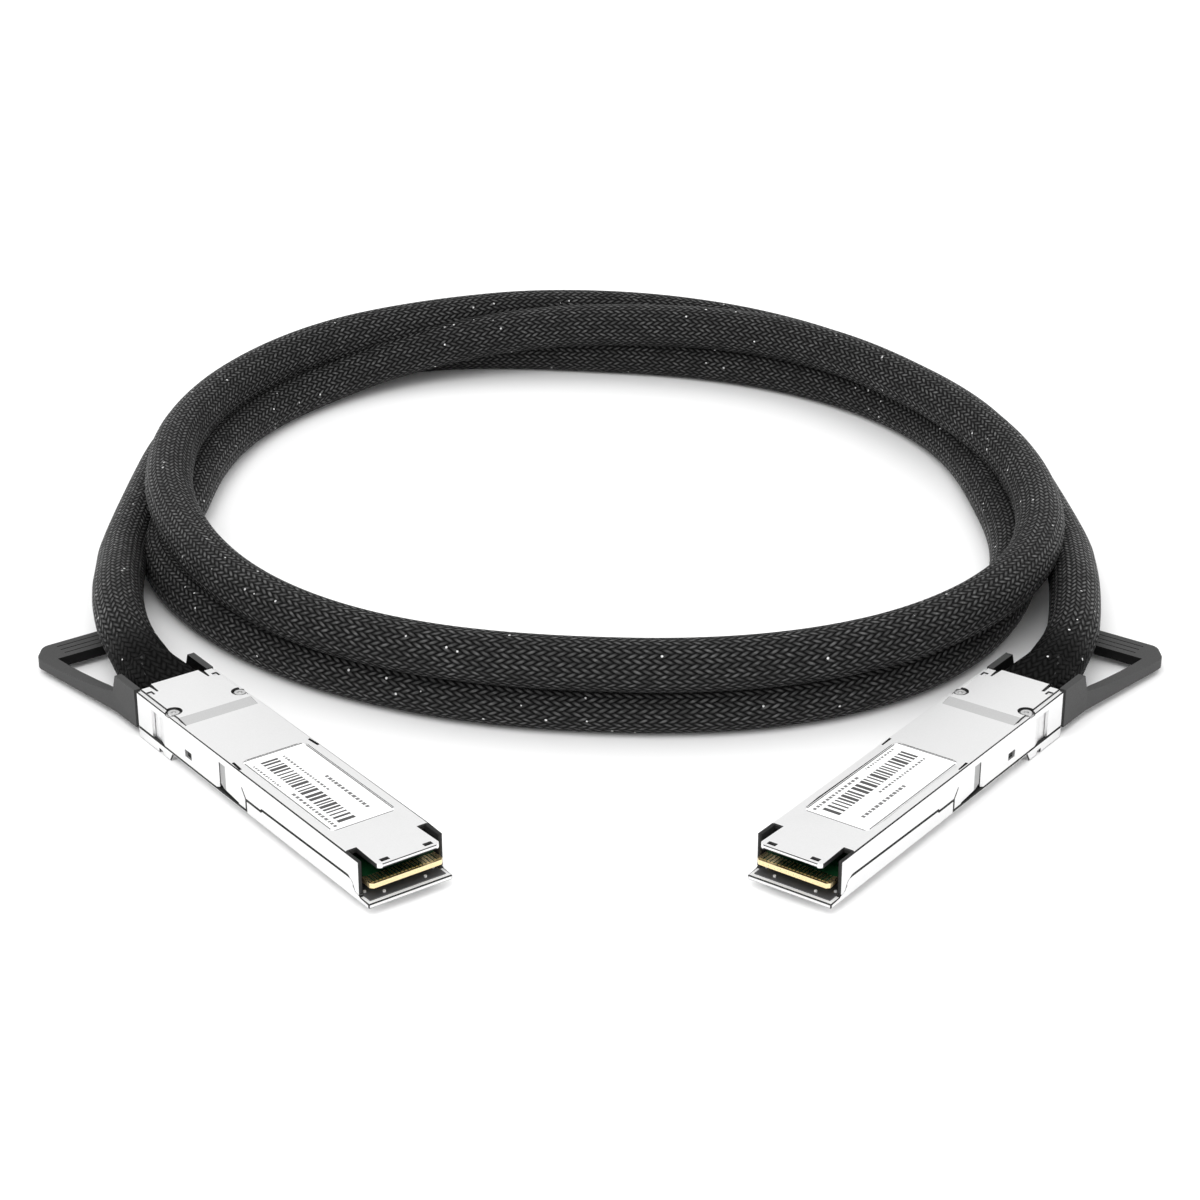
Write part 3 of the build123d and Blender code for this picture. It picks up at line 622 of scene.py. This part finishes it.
def round_edges(piece, width, segments, wanted, angle=25.0, line=None):
    """Bevels the sharp outer edges that wanted() picks by their ends, giving the bevels the finish line
    if given, on the shells a dark painted shade.
    """
    mesh = bmesh.new()
    mesh.from_mesh(piece.data)
    weight = mesh.edges.layers.float.new("bevel_weight_edge")
    for edge in mesh.edges:
        if len(edge.link_faces) != 2 or not edge.is_convex:
            continue
        if edge.calc_face_angle() < math.radians(angle):
            continue
        if wanted(edge.verts[0].co, edge.verts[1].co):
            edge[weight] = 1.0
    mesh.to_mesh(piece.data)
    mesh.free()
    bevel = piece.modifiers.new("edges", "BEVEL")
    bevel.limit_method = "WEIGHT"
    bevel.width = width * MM
    bevel.segments = segments
    bevel.use_clamp_overlap = False
    bevel.loop_slide = False
    if line is not None:
        bevel.material = line
    choose(piece)
    bpy.ops.object.modifier_apply(modifier=bevel.name)
    bpy.ops.object.shade_smooth_by_angle(angle=math.radians(SHARP_ANGLE))
    even = piece.modifiers.new("even_normals", "WEIGHTED_NORMAL")
    even.weight = 100
    even.keep_sharp = True
    bpy.ops.object.modifier_apply(modifier=even.name)


def in_plug(side):
    """A function from a point of the object to the plug's own millimetres."""
    inverse = plug_frame(side).inverted()
    return lambda point: inverse @ point / MM


def dress(piece, side, name, slot_name, body, *nodes):
    """Seats a finished piece on its body in place of the CAD nodes."""
    piece.name = f"{side}_{name}"
    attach(piece, body)
    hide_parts(*nodes)


class CableSizes(bpy.types.PropertyGroup):
    """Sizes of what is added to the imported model."""

    edge_width: FloatProperty(
        name="Edge width", description="Bevel on the shells' edges, in mm", default=0.23, min=0.02
    )
    tab_edge: FloatProperty(
        name="Tab edge", description="Rounding of the pull tab's edges, in mm", default=0.4, min=0.05
    )
    cable_diameter: FloatProperty(
        name="Cable diameter",
        description="Diameter over the braided sleeve",
        default=11.2 * MM,
        unit="LENGTH",
        precision=4,
    )
    ring_faces: IntProperty(
        name="Faces round", description="Faces round the cable", default=40, min=12, max=48
    )
    strand_count: IntProperty(
        name="Strands", description="Strands of the sleeve one way round", default=32, min=12
    )
    strand_pitch: FloatProperty(
        name="Strand pitch", description="Length of one strand crossing, in mm", default=2.0, min=0.5
    )


class CableStage(bpy.types.PropertyGroup):
    """Camera, floor and light."""

    lens: FloatProperty(name="Lens", description="Focal length", default=85.0, unit="CAMERA")
    camera_height: FloatProperty(
        name="Camera height", description="Height over the floor", default=0.27045, unit="LENGTH"
    )
    camera_back: FloatProperty(
        name="Camera distance",
        description="Distance in front of the plugs' line",
        default=0.503155,
        unit="LENGTH",
    )
    camera_pitch: FloatProperty(
        name="Camera pitch",
        description="How far the camera looks down",
        default=math.radians(24.9),
        unit="ROTATION",
    )
    floor_colour: FloatVectorProperty(
        name="Floor", description="Colour of the floor", subtype="COLOR", default=(0.98, 0.98, 0.98)
    )
    sky_strength: FloatProperty(
        name="Sky", description="Strength of the even light", default=1.2, min=0
    )
    lamp_power: FloatProperty(
        name="Lamp", description="Power of the soft lamp above, in watts", default=4.0, min=0
    )


class CABLE_OT_camera(bpy.types.Operator):
    """Sets the camera where the photograph was taken"""

    bl_idname = "cable.camera"
    bl_label = "Camera"

    def execute(self, context):
        stage = context.scene.cable_stage
        data = bpy.data.cameras.new("camera")
        data.lens = stage.lens
        data.sensor_width = 36
        data.sensor_fit = "HORIZONTAL"
        data.clip_start = 0.01
        camera = bpy.data.objects.new("camera", data)
        camera.location = (0, -stage.camera_back, stage.camera_height)
        camera.rotation_euler = (math.pi / 2 - stage.camera_pitch, 0, 0)
        context.scene.collection.objects.link(camera)
        context.scene.camera = camera
        return {"FINISHED"}


def smooth_value(turn, column):
    """The value in a column of the turns' table, smooth between its rows."""
    rows = COIL_TURNS
    row = min(max(i for i, key in enumerate(rows) if key[0] <= turn), len(rows) - 2)

    def slope(i):
        """How fast the value changes at a row, level at a top or a bottom."""
        if i in (0, len(rows) - 1):
            return 0.0
        before = (rows[i][column] - rows[i - 1][column]) / (rows[i][0] - rows[i - 1][0])
        after = (rows[i + 1][column] - rows[i][column]) / (rows[i + 1][0] - rows[i][0])
        return 2 * before * after / (before + after) if before * after > 0 else 0.0

    width = rows[row + 1][0] - rows[row][0]
    part = (turn - rows[row][0]) / width
    low, high = rows[row][column], rows[row + 1][column]
    rise = high - low
    start, end = slope(row) * width, slope(row + 1) * width
    return low + part * (start + part * (3 * rise - 2 * start - end + part * (start + end - 2 * rise)))


def coil_base(turn):
    """A point of the coil's oval, in millimetres."""
    angle = math.radians(180 - turn)
    c, s = math.cos(angle), math.sin(angle)
    grid = abs(c / COIL_HALF_WIDTH) ** COIL_POWER + abs(s / COIL_HALF_DEPTH) ** COIL_POWER
    reach = grid ** (-1 / COIL_POWER) - COIL_SKEW * math.sin(2 * angle)
    return Vector((COIL_MIDDLE[0] + reach * c, COIL_MIDDLE[1] + reach * s, 0))


def cable_route():
    """The route's points in metres, from the left strain relief to the right one."""
    leads = {}
    for side in SIDES:
        place = plug_frame(side)
        leads[side] = [
            place @ Vector((-back * MM, LEAD_ACROSS[side] * aside * MM, height * MM))
            for back, aside, height in LEAD_POINTS[side]
        ]
    turns = []
    for turn in range(COIL_START, COIL_END + 1, COIL_STEP):
        onward = (coil_base(turn + 0.5) - coil_base(turn - 0.5)).normalized()
        outward = Vector((-onward.y, onward.x, 0))
        point = coil_base(turn) + outward * smooth_value(turn, OUTWARD)
        turns.append(Vector((point.x, point.y, smooth_value(turn, HEIGHT))) * MM)
    return leads["left"] + turns + leads["right"][::-1]


def spline_line(points, name):
    """The points along a smooth NURBS spline through the route."""
    curve = bpy.data.curves.new(name, "CURVE")
    curve.dimensions = "3D"
    curve.resolution_u = ROUTE_STEPS
    spline = curve.splines.new("NURBS")
    spline.points.add(len(points) - 1)
    for knot, point in zip(spline.points, points):
        knot.co = (*point, 1.0)
    spline.order_u = 3
    spline.use_endpoint_u = True
    holder = bpy.data.objects.new(name, curve)
    bpy.context.scene.collection.objects.link(holder)
    bpy.context.view_layer.update()
    line = bpy.data.meshes.new_from_object(holder)
    path = [vertex.co.copy() for vertex in line.vertices]
    bpy.data.objects.remove(holder)
    bpy.data.meshes.remove(line)
    return path


def sleeve_end(side, path, rings):
    """The sleeve's rings where it is drawn over a strain relief, from the plug to the cable."""
    place = plug_frame(side)
    turned = place.to_3x3().inverted()
    middle = place.inverted() @ path[0] / MM
    drawn = []
    for step in range(RELIEF_STEPS):
        part = step / RELIEF_STEPS
        radius, height, low, high = (
            base + (tip - base) * part for base, tip in zip(RELIEF_BASE, RELIEF_TIP)
        )
        centre = Vector((-RELIEF_LENGTH * part - RELIEF_GAP, middle.y * part, height))
        points = []
        for point in rings[0]:
            way = turned @ (point - path[0])
            spot = centre + Vector((0, way.y, way.z)).normalized() * radius
            points.append(place @ (Vector((spot.x, spot.y, min(max(spot.z, low), high))) * MM))
        drawn.append(points)
    for step, grow in enumerate(OVERLAP):
        drawn.append([path[step] + (point - path[step]) * grow for point in rings[step]])
    return drawn


def braided_tube(name, rings, marks, strand_count):
    """A tube through the rings, with a map that counts strands round it and crossings along it."""
    count = len(rings[0])
    mesh = bmesh.new()
    rings = [[mesh.verts.new(point) for point in ring] for ring in rings]
    strands = mesh.loops.layers.uv.new("strands")
    for i in range(len(rings) - 1):
        for k in range(count):
            after = (k + 1) % count
            face = mesh.faces.new((rings[i][k], rings[i][after], rings[i + 1][after], rings[i + 1][k]))
            face.smooth = True
            corners = ((k, i), (k + 1, i), (k + 1, i + 1), (k, i + 1))
            for loop, (turn, row) in zip(face.loops, corners):
                loop[strands].uv = (turn / count * strand_count, marks[row])
    mesh.faces.new(rings[0])
    mesh.faces.new(rings[-1][::-1])
    bmesh.ops.recalc_face_normals(mesh, faces=mesh.faces)
    data = bpy.data.meshes.new(name)
    mesh.to_mesh(data)
    mesh.free()
    piece = bpy.data.objects.new(name, data)
    bpy.context.scene.collection.objects.link(piece)
    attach(piece, FIXED)
    return piece


class CABLE_OT_cable(bpy.types.Operator):
    """Lays the braided cable in its turns between the two plugs"""

    bl_idname = "cable.cable"
    bl_label = "Cable"

    def execute(self, context):
        sizes = context.scene.cable_sizes
        path = spline_line(cable_route(), "cable_route")
        count = sizes.ring_faces
        radius = sizes.cable_diameter / 2
        runs = [(b - a).length for a, b in zip(path, path[1:])]
        reached = np.concatenate([[0.0], np.cumsum(runs)])
        rings = []
        ways = [(b - a).normalized() for a, b in zip(path[:1] + path[:-1], path[1:] + path[-1:])]
        ways[0] = ways[1]
        side_way = ways[0].cross(Vector((0, 0, 1))).normalized()
        for i, (centre, way) in enumerate(zip(path, ways)):
            side_way = (side_way - way * side_way.dot(way)).normalized()
            up_way = side_way.cross(way)
            ring = []
            for k in range(count):
                angle = 2 * math.pi * k / count
                # The pairs inside show as faint long swells
                one_way = math.sin(3 * angle + reached[i] * SWELL_TWIST[0])
                other_way = math.sin(2 * angle - reached[i] * SWELL_TWIST[1])
                reach = radius * (1 - SWELL + SWELL * (one_way * other_way))
                ring.append(centre + (side_way * math.cos(angle) + up_way * math.sin(angle)) * reach)
            rings.append(ring)
        # The map's second number starts at the left plug's back face
        marks = [(mark / MM + RELIEF_LENGTH) / sizes.strand_pitch for mark in reached]
        total = marks[-1] + RELIEF_LENGTH / sizes.strand_pitch
        cable = braided_tube("braided_cable", rings, marks, sizes.strand_count)
        braid = braid_material(total)
        cable.data.materials.append(braid)
        for side, line, around in (("left", path, rings), ("right", path[::-1], rings[::-1])):
            drawn = sleeve_end(side, line, around)
            rows = [
                RELIEF_LENGTH * step / RELIEF_STEPS / sizes.strand_pitch for step in range(RELIEF_STEPS)
            ]
            rows += marks[: len(OVERLAP)]
            if side == "right":
                rows = [total - row for row in rows]
            end = braided_tube(f"{side}_sleeve_end", drawn, rows, sizes.strand_count)
            end.data.materials.append(braid)
        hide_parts("cable_coil", "left_cable_lead", "right_cable_lead")
        print("cable length", round(float(reached[-1]), 4), "rings", len(path))
        return {"FINISHED"}


def in_cavity(point):
    """Whether a point of the plug lies in one of the lid's slots, pockets and holes."""
    spot = (point.x, abs(point.y), point.z)
    return any(all(low < value < high for value, (low, high) in zip(spot, box)) for box in CAVITIES)


def shell_edge(a, b):
    """Whether an edge of a shell, by its ends in the plug, is on its outer skin and is rounded."""
    middle = (a + b) / 2
    long_enough = (a - b).length > 0.5
    behind_skin = JOG[0] < min(a.x, b.x) and max(a.x, b.x) < JOG[1] and abs(a.z - b.z) > 1
    on_side = abs(abs(middle.y) - SHELL_HALF) < 0.02 and middle.x > 0.05
    on_roof = min(a.z, b.z) > ROOF - 0.21
    on_front = min(a.x, b.x) > SIDE_FRONT - 0.01
    return long_enough and not behind_skin and (on_side or on_roof or on_front)


def painted_shade_face(node, middle, normal):
    """Whether a face of a shell, by its middle and direction in the plug, is one coloured dark as
    painted shade.
    """
    out = abs(middle.y)
    behind_jog = JOG[0] < middle.x < JOG[1] and out > JOG_HALF
    inner_side = out < SHELL_HALF - 0.5 and abs(normal.y) > 0.9 and not behind_jog
    under_roof = normal.z < -0.5 and middle.z > FLOOR + 1
    hollow = BACK_WALL < middle.x and (inner_side and middle.z < ROOF - 0.3 or under_roof)
    tray = node == "bottom_shell" and normal.z > 0.5 and 1 < middle.x < 80
    # The tops and walls of the two notches beside the tongue, and the side walls' front ends, dark as
    # painted shade
    rim = normal.z > 0.9 and middle.z > ROOF - 0.3 and middle.x > TONGUE_ROOT and out > RIM_HALF
    notch = TONGUE_ROOT - 0.05 < middle.x < SIDE_FRONT - 0.1 and normal.z < 0.9
    notch = notch and NOTCH_HALF < out < SHELL_HALF - 0.05
    front_end = abs(middle.x - SIDE_FRONT) < 0.1 and out > 8 and middle.z > FLOOR and normal.x > 0.9
    return hollow or tray or rim or notch or front_end or in_cavity(middle)


def shell_finish(node, middle, normal):
    """Which finish a face of a shell has, by its middle and direction in the plug."""
    out = abs(middle.y)
    # Painted light: the lip's upper edge and its bosses take a pale finish
    if node == "bottom_shell":
        boss = middle.x > 80 and FLOOR + 0.1 < middle.z < FLOOR + 1.5 and out < BOSS_HALF
        lip = middle.x > TONGUE_ROOT and abs(middle.z - FLOOR) < 0.1 and normal.z > 0.9
        if boss or lip:
            return LIP
    if painted_shade_face(node, middle, normal):
        return INSIDE
    # Painted shade: the arms' ramps and the pads' slope are coloured greyer than the plating
    if ARM_RAMP[0] - 0.1 < middle.x < ARM_RAMP[1] and 0.05 < abs(normal.x) < 0.5 and out > RAMP_HALF:
        return RAMP
    if PAD_SLOPE[0] < middle.x < PAD_SLOPE[1] and 0.9 < normal.z < 0.9999 and middle.z > ROOF:
        return SLOPE
    # Upward faces of the lid take the top's copy of the plating, toned as painted shade
    return TOP if normal.z > 0.9 and middle.z > ROOF - 0.3 else PLATED


class CABLE_OT_shells(bpy.types.Operator):
    """Finishes the cast shells with painted light and shade: dark edge lines, grey slopes, a dark
    inside, a pale lip and a top of its own tone
    """

    bl_idname = "cable.shells"
    bl_label = "Shells"

    def execute(self, context):
        width = context.scene.cable_sizes.edge_width
        # In the order of PLATED, EDGE, SLOPE, INSIDE, TOP, RAMP and LIP
        finishes = [nickel_plate(), nickel_edge(), nickel_ramp("zinc_nickel_slope_painted_shade", "#D4D4D4")]
        finishes += [nickel_inside_painted_shade(), nickel_top_painted_tone(), nickel_ramp("zinc_nickel_ramp_painted_shade", "#B0B0B0")]
        finishes.append(nickel_ramp("zinc_nickel_lip_painted_light", "#F8F8F8", 0.95))
        for side in SIDES:
            own = in_plug(side)
            turn_in = plug_frame(side).inverted().to_3x3()
            for node in ("top_shell", "bottom_shell"):
                piece = merged_copy(f"{side}_{node}")
                cut_across(piece, side, (TONGUE_ROOT, 0, 0), (1, 0, 0))
                for finish in finishes:
                    piece.data.materials.append(finish)
                for face in piece.data.polygons:
                    face.material_index = shell_finish(node, own(face.center), turn_in @ face.normal)
                # The bevels take the edge finish: painted shade that reads as thin dark lines
                round_edges(piece, width, 1, lambda a, b: shell_edge(own(a), own(b)), line=EDGE)
                dress(piece, side, f"{node}_cast", "shell_zinc", FIXED, f"{side}_{node}")
        return {"FINISHED"}


class CABLE_OT_card(bpy.types.Operator):
    """Finishes the paddle card, its gold contacts, its chip and the film under it, which is dark as
    painted shade
    """

    bl_idname = "cable.card"
    bl_label = "Card"

    def execute(self, context):
        mask, gold = card_mask(), contact_gold()
        resin, film = chip_resin(), painted_shade_film()
        for side in SIDES:
            own = in_plug(side)
            card = merged_copy(f"{side}_paddle_card")
            card.data.materials.append(mask)
            card.data.materials.append(gold)
            # The plated rim: a strip along the front edge and a short one along each side
            cuts = (
                ((CARD_FRONT - RIM_DEPTH, 0, 0), (1, 0, 0)),
                ((CARD_FRONT - RIM_REACH, 0, 0), (1, 0, 0)),
                ((0, CARD_HALF - RIM_WIDTH, 0), (0, 1, 0)),
                ((0, RIM_WIDTH - CARD_HALF, 0), (0, 1, 0)),
            )
            for point, normal in cuts:
                cut_across(card, side, point, normal)
            for face in card.data.polygons:
                middle = own(face.center)
                front = middle.x > CARD_FRONT - RIM_DEPTH
                beside = abs(middle.y) > CARD_HALF - RIM_WIDTH and middle.x > CARD_FRONT - RIM_REACH
                face.material_index = 1 if front or beside else 0
            dress(card, side, "card_with_rim", "card_green", FIXED, f"{side}_paddle_card")
            sheet = merged_copy(f"{side}_card_insulator")
            sheet.data.materials.append(film)
            for point, normal in FILM_ENDS:
                cut_across(sheet, side, point, normal, cut_off=True)
            bpy.ops.mesh.customdata_custom_splitnormals_clear()
            bpy.ops.object.shade_flat()
            dress(sheet, side, "film_sheet", "film_grey", FIXED, f"{side}_card_insulator")
            for node, finish in (("card_contacts", gold), ("memory_chip", resin)):
                data = frame["nodes"][f"{side}_{node}"].data
                data.materials.clear()
                data.materials.append(finish)
        return {"FINISHED"}


def print_block(name, boxes, side, finish):
    """One thin piece of print made of flat blocks: middle along, middle across, length and width."""
    parts = []
    for along, across, length, width in boxes:
        bpy.ops.object.select_all(action="DESELECT")
        spot = (along * MM, across * MM, LABEL_TOP * MM + PRINT_LIFT)
        bpy.ops.mesh.primitive_cube_add(size=1, location=spot)
        block = bpy.context.active_object
        block.scale = (length * MM, width * MM, PRINT_THICKNESS)
        parts.append(block)
    bpy.ops.object.select_all(action="DESELECT")
    for block in parts:
        block.select_set(True)
    bpy.context.view_layer.objects.active = parts[0]
    bpy.ops.object.join()
    bpy.ops.object.transform_apply(location=True, rotation=True, scale=True)
    piece = bpy.context.active_object
    piece.name = f"{side}_{name}"
    piece.data.transform(plug_frame(side))
    piece.data.materials.append(finish)
    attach(piece, FIXED)


class CABLE_OT_labels(bpy.types.Operator):
    """Prints each label: a field of bars, a few rows of grey dashes and a grey line round it that is
    painted shadow
    """

    bl_idname = "cable.labels"
    bl_label = "Labels"

    def execute(self, context):
        paper = label_paper()
        dark, grey = ink("thermal_ink_dark", "#3C3C3C"), ink("thermal_ink_grey_and_painted_shadow", "#6A6A6A")
        for side in SIDES:
            label = merged_copy(f"{side}_label")
            label.data.materials.append(paper)
            dress(label, side, "label_sheet", "label_white", FIXED, f"{side}_label")
            rng = random.Random(7)
            bars = []
            along, end, across, height = LABEL_BARS
            while along < end:
                width = rng.choice(BAR_WIDTHS)
                bars.append((along + width / 2, across, width, height))
                along += width + rng.choice(BAR_GAPS)
            print_block("label_bars", bars, side, dark)
            dashes = []
            for start, end, across, height, dash in LABEL_ROWS:
                along = start
                while along < end:
                    length = min(rng.uniform(0.5, 1.0) * dash, end - along)
                    dashes.append((along + length / 2, across, length, height))
                    along += length + rng.uniform(0.25, 0.5)
            # A grey line round the label is painted shadow along the edge of its recess
            dashes += [(along, 0, FRAME_LINE, FRAME_DEPTH) for along in FRAME_ALONG]
            dashes += [(FRAME_MIDDLE, across, FRAME_LENGTH, FRAME_LINE) for across in FRAME_ACROSS]
            print_block("label_rows", dashes, side, grey)
        return {"FINISHED"}


class CABLE_OT_screws(bpy.types.Operator):
    """Finishes the shells' screws"""

    bl_idname = "cable.screws"
    bl_label = "Screws"

    def execute(self, context):
        steel = screw_steel()
        for side in SIDES:
            piece = merged_copy(f"{side}_shell_screws")
            piece.data.materials.append(steel)
            round_edges(piece, SCREW_EDGE, 2, lambda a, b: True, angle=60)
            dress(piece, side, "screws_plated", "screw_steel", FIXED, f"{side}_shell_screws")
        return {"FINISHED"}


def tab_edge(a, b):
    """Whether an edge of a tab, by its ends in the plug, is long and off the steel and the grooves."""
    round_steel = min(abs(a.y), abs(b.y)) < 8.6 and a.x > -10 and a.z > 2.4
    groove = all(GRIP[0] < end.x < GRIP[1] and abs(end.y) < GRIP[2] for end in (a, b))
    return (a - b).length > 0.4 and not round_steel and not groove


def tab_corner(a, b):
    """Whether an edge of a tab, by its ends in the plug, is upright at an outer corner of the loop."""
    upright = abs(a.x - b.x) < 0.05 and abs(a.y - b.y) < 0.05 and abs(a.z - b.z) > 1
    return upright and a.x < TAB_BAR + 2 and abs(a.y) > 7


class CABLE_OT_latches(bpy.types.Operator):
    """Finishes the sliders, the return springs and the pull tabs"""

    bl_idname = "cable.latches"
    bl_label = "Latches"

    def execute(self, context):
        steel, wire, nylon = stamped_steel(), spring_wire(), tab_nylon()
        width = context.scene.cable_sizes.tab_edge
        for side in SIDES:
            for node, finish in (("latch_slider", steel), ("return_springs", wire)):
                data = frame["nodes"][f"{side}_{node}"].data
                data.materials.clear()
                data.materials.append(finish)
            own = in_plug(side)
            piece = merged_copy(f"{side}_pull_tab")
            for finish in (nylon, tab_inside_painted_shade()):
                piece.data.materials.append(finish)
            turn_in = plug_frame(side).inverted().to_3x3()
            for face in piece.data.polygons:
                middle, normal = own(face.center), turn_in @ face.normal
                # Painted shade: walls behind the bar and between the arms face into the loop and are
                # coloured black
                behind_bar = normal.x > 0.7 and middle.x < TAB_BAR + 0.5
                between_arms = normal.y * middle.y < -0.3 * abs(middle.y) and TAB_BAR < middle.x < -9
                face.material_index = 1 if behind_bar or between_arms else 0
            round_edges(piece, TAB_CORNER, 4, lambda a, b: tab_corner(own(a), own(b)), angle=20)
            round_edges(piece, width, 3, lambda a, b: tab_edge(own(a), own(b)), angle=40)
            dress(piece, side, "pull_tab_moulded", "tab_black", LATCHES[side], f"{side}_pull_tab")
        return {"FINISHED"}


class CABLE_OT_inner_parts(bpy.types.Operator):
    """Finishes what lies inside the plugs, and their strain reliefs"""

    bl_idname = "cable.inner_parts"
    bl_label = "Inner parts"

    def execute(self, context):
        finishes = {
            "twinax_pairs": pair_jacket(),
            "wire_mold": mold_resin(),
            "crimp_ring": crimp_copper(),
            "strain_relief": relief_rubber(),
        }
        for side in SIDES:
            for node, finish in finishes.items():
                data = frame["nodes"][f"{side}_{node}"].data
                data.materials.clear()
                data.materials.append(finish)
        return {"FINISHED"}


class CABLE_OT_stage(bpy.types.Operator):
    """Lays the white floor and sets the light"""

    bl_idname = "cable.stage"
    bl_label = "Stage"

    def execute(self, context):
        stage = context.scene.cable_stage
        # White seamless paper: matt, with no texture of its own
        paper, shader = new_material("seamless_paper_white", "#FDFDFD", 0.9)
        shader.inputs["Specular IOR Level"].default_value = 0.2
        shader.inputs["Base Color"].default_value = (*stage.floor_colour, 1.0)
        bpy.ops.object.select_all(action="DESELECT")
        bpy.ops.mesh.primitive_plane_add(size=FLOOR_WIDTH, location=(0, 0, 0))
        floor = context.active_object
        floor.name = "floor"
        floor.data.materials.append(paper)
        world = bpy.data.worlds.new("white_sky")
        world.use_nodes = True
        context.scene.world = world
        tree = world.node_tree
        sky = tree.nodes["Background"]
        sky.inputs["Color"].default_value = (1, 1, 1, 1)
        ray = add_node(tree, "ShaderNodeLightPath")
        seen = add_node(
            tree,
            "ShaderNodeMath",
            {"operation": "MAXIMUM"},
            {0: ray.outputs["Is Camera Ray"], 1: ray.outputs["Is Glossy Ray"]},
        )
        seen_too = add_node(
            tree,
            "ShaderNodeMath",
            {"operation": "MAXIMUM"},
            {0: seen.outputs[0], 1: ray.outputs["Is Transmission Ray"]},
        )
        strength = add_node(
            tree,
            "ShaderNodeMapRange",
            inputs={"Value": seen_too.outputs[0], "To Min": stage.sky_strength, "To Max": 1.0},
        )
        tree.links.new(strength.outputs["Result"], sky.inputs["Strength"])
        data = bpy.data.lights.new("soft_lamp", "AREA")
        data.shape = "DISK"
        data.size = LAMP_WIDTH
        data.energy = stage.lamp_power
        lamp = bpy.data.objects.new("soft_lamp", data)
        lamp.location = LAMP_PLACE
        aim = Vector(LAMP_AIM) - lamp.location
        lamp.rotation_euler = aim.to_track_quat("-Z", "Y").to_euler()
        context.scene.collection.objects.link(lamp)
        context.scene.view_settings.view_transform = "Standard"
        return {"FINISHED"}


class CABLE_PT_panel(bpy.types.Panel):
    """Lists the pieces of the cable"""

    bl_label = "Cable"
    bl_idname = "CABLE_PT_panel"
    bl_space_type = "VIEW_3D"
    bl_region_type = "UI"
    bl_category = "Cable"

    def draw(self, context):
        for group in (context.scene.cable_sizes, context.scene.cable_stage):
            for name in group.__annotations__:
                self.layout.prop(group, name)
        for step in STEPS:
            self.layout.operator(step.bl_idname)


STEPS = (
    CABLE_OT_camera,
    CABLE_OT_cable,
    CABLE_OT_shells,
    CABLE_OT_card,
    CABLE_OT_labels,
    CABLE_OT_screws,
    CABLE_OT_latches,
    CABLE_OT_inner_parts,
    CABLE_OT_stage,
)
CLASSES = (CableSizes, CableStage) + STEPS + (CABLE_PT_panel,)


def register():
    for each in CLASSES:
        bpy.utils.register_class(each)
    bpy.types.Scene.cable_sizes = PointerProperty(type=CableSizes)
    bpy.types.Scene.cable_stage = PointerProperty(type=CableStage)


def unregister():
    del bpy.types.Scene.cable_stage
    del bpy.types.Scene.cable_sizes
    for each in reversed(CLASSES):
        bpy.utils.unregister_class(each)


def main():
    register()
    bpy.ops.cable.camera()
    bpy.ops.cable.cable()
    bpy.ops.cable.shells()
    bpy.ops.cable.card()
    bpy.ops.cable.labels()
    bpy.ops.cable.screws()
    bpy.ops.cable.latches()
    bpy.ops.cable.inner_parts()
    bpy.ops.cable.stage()


if __name__ == "__main__":
    main()
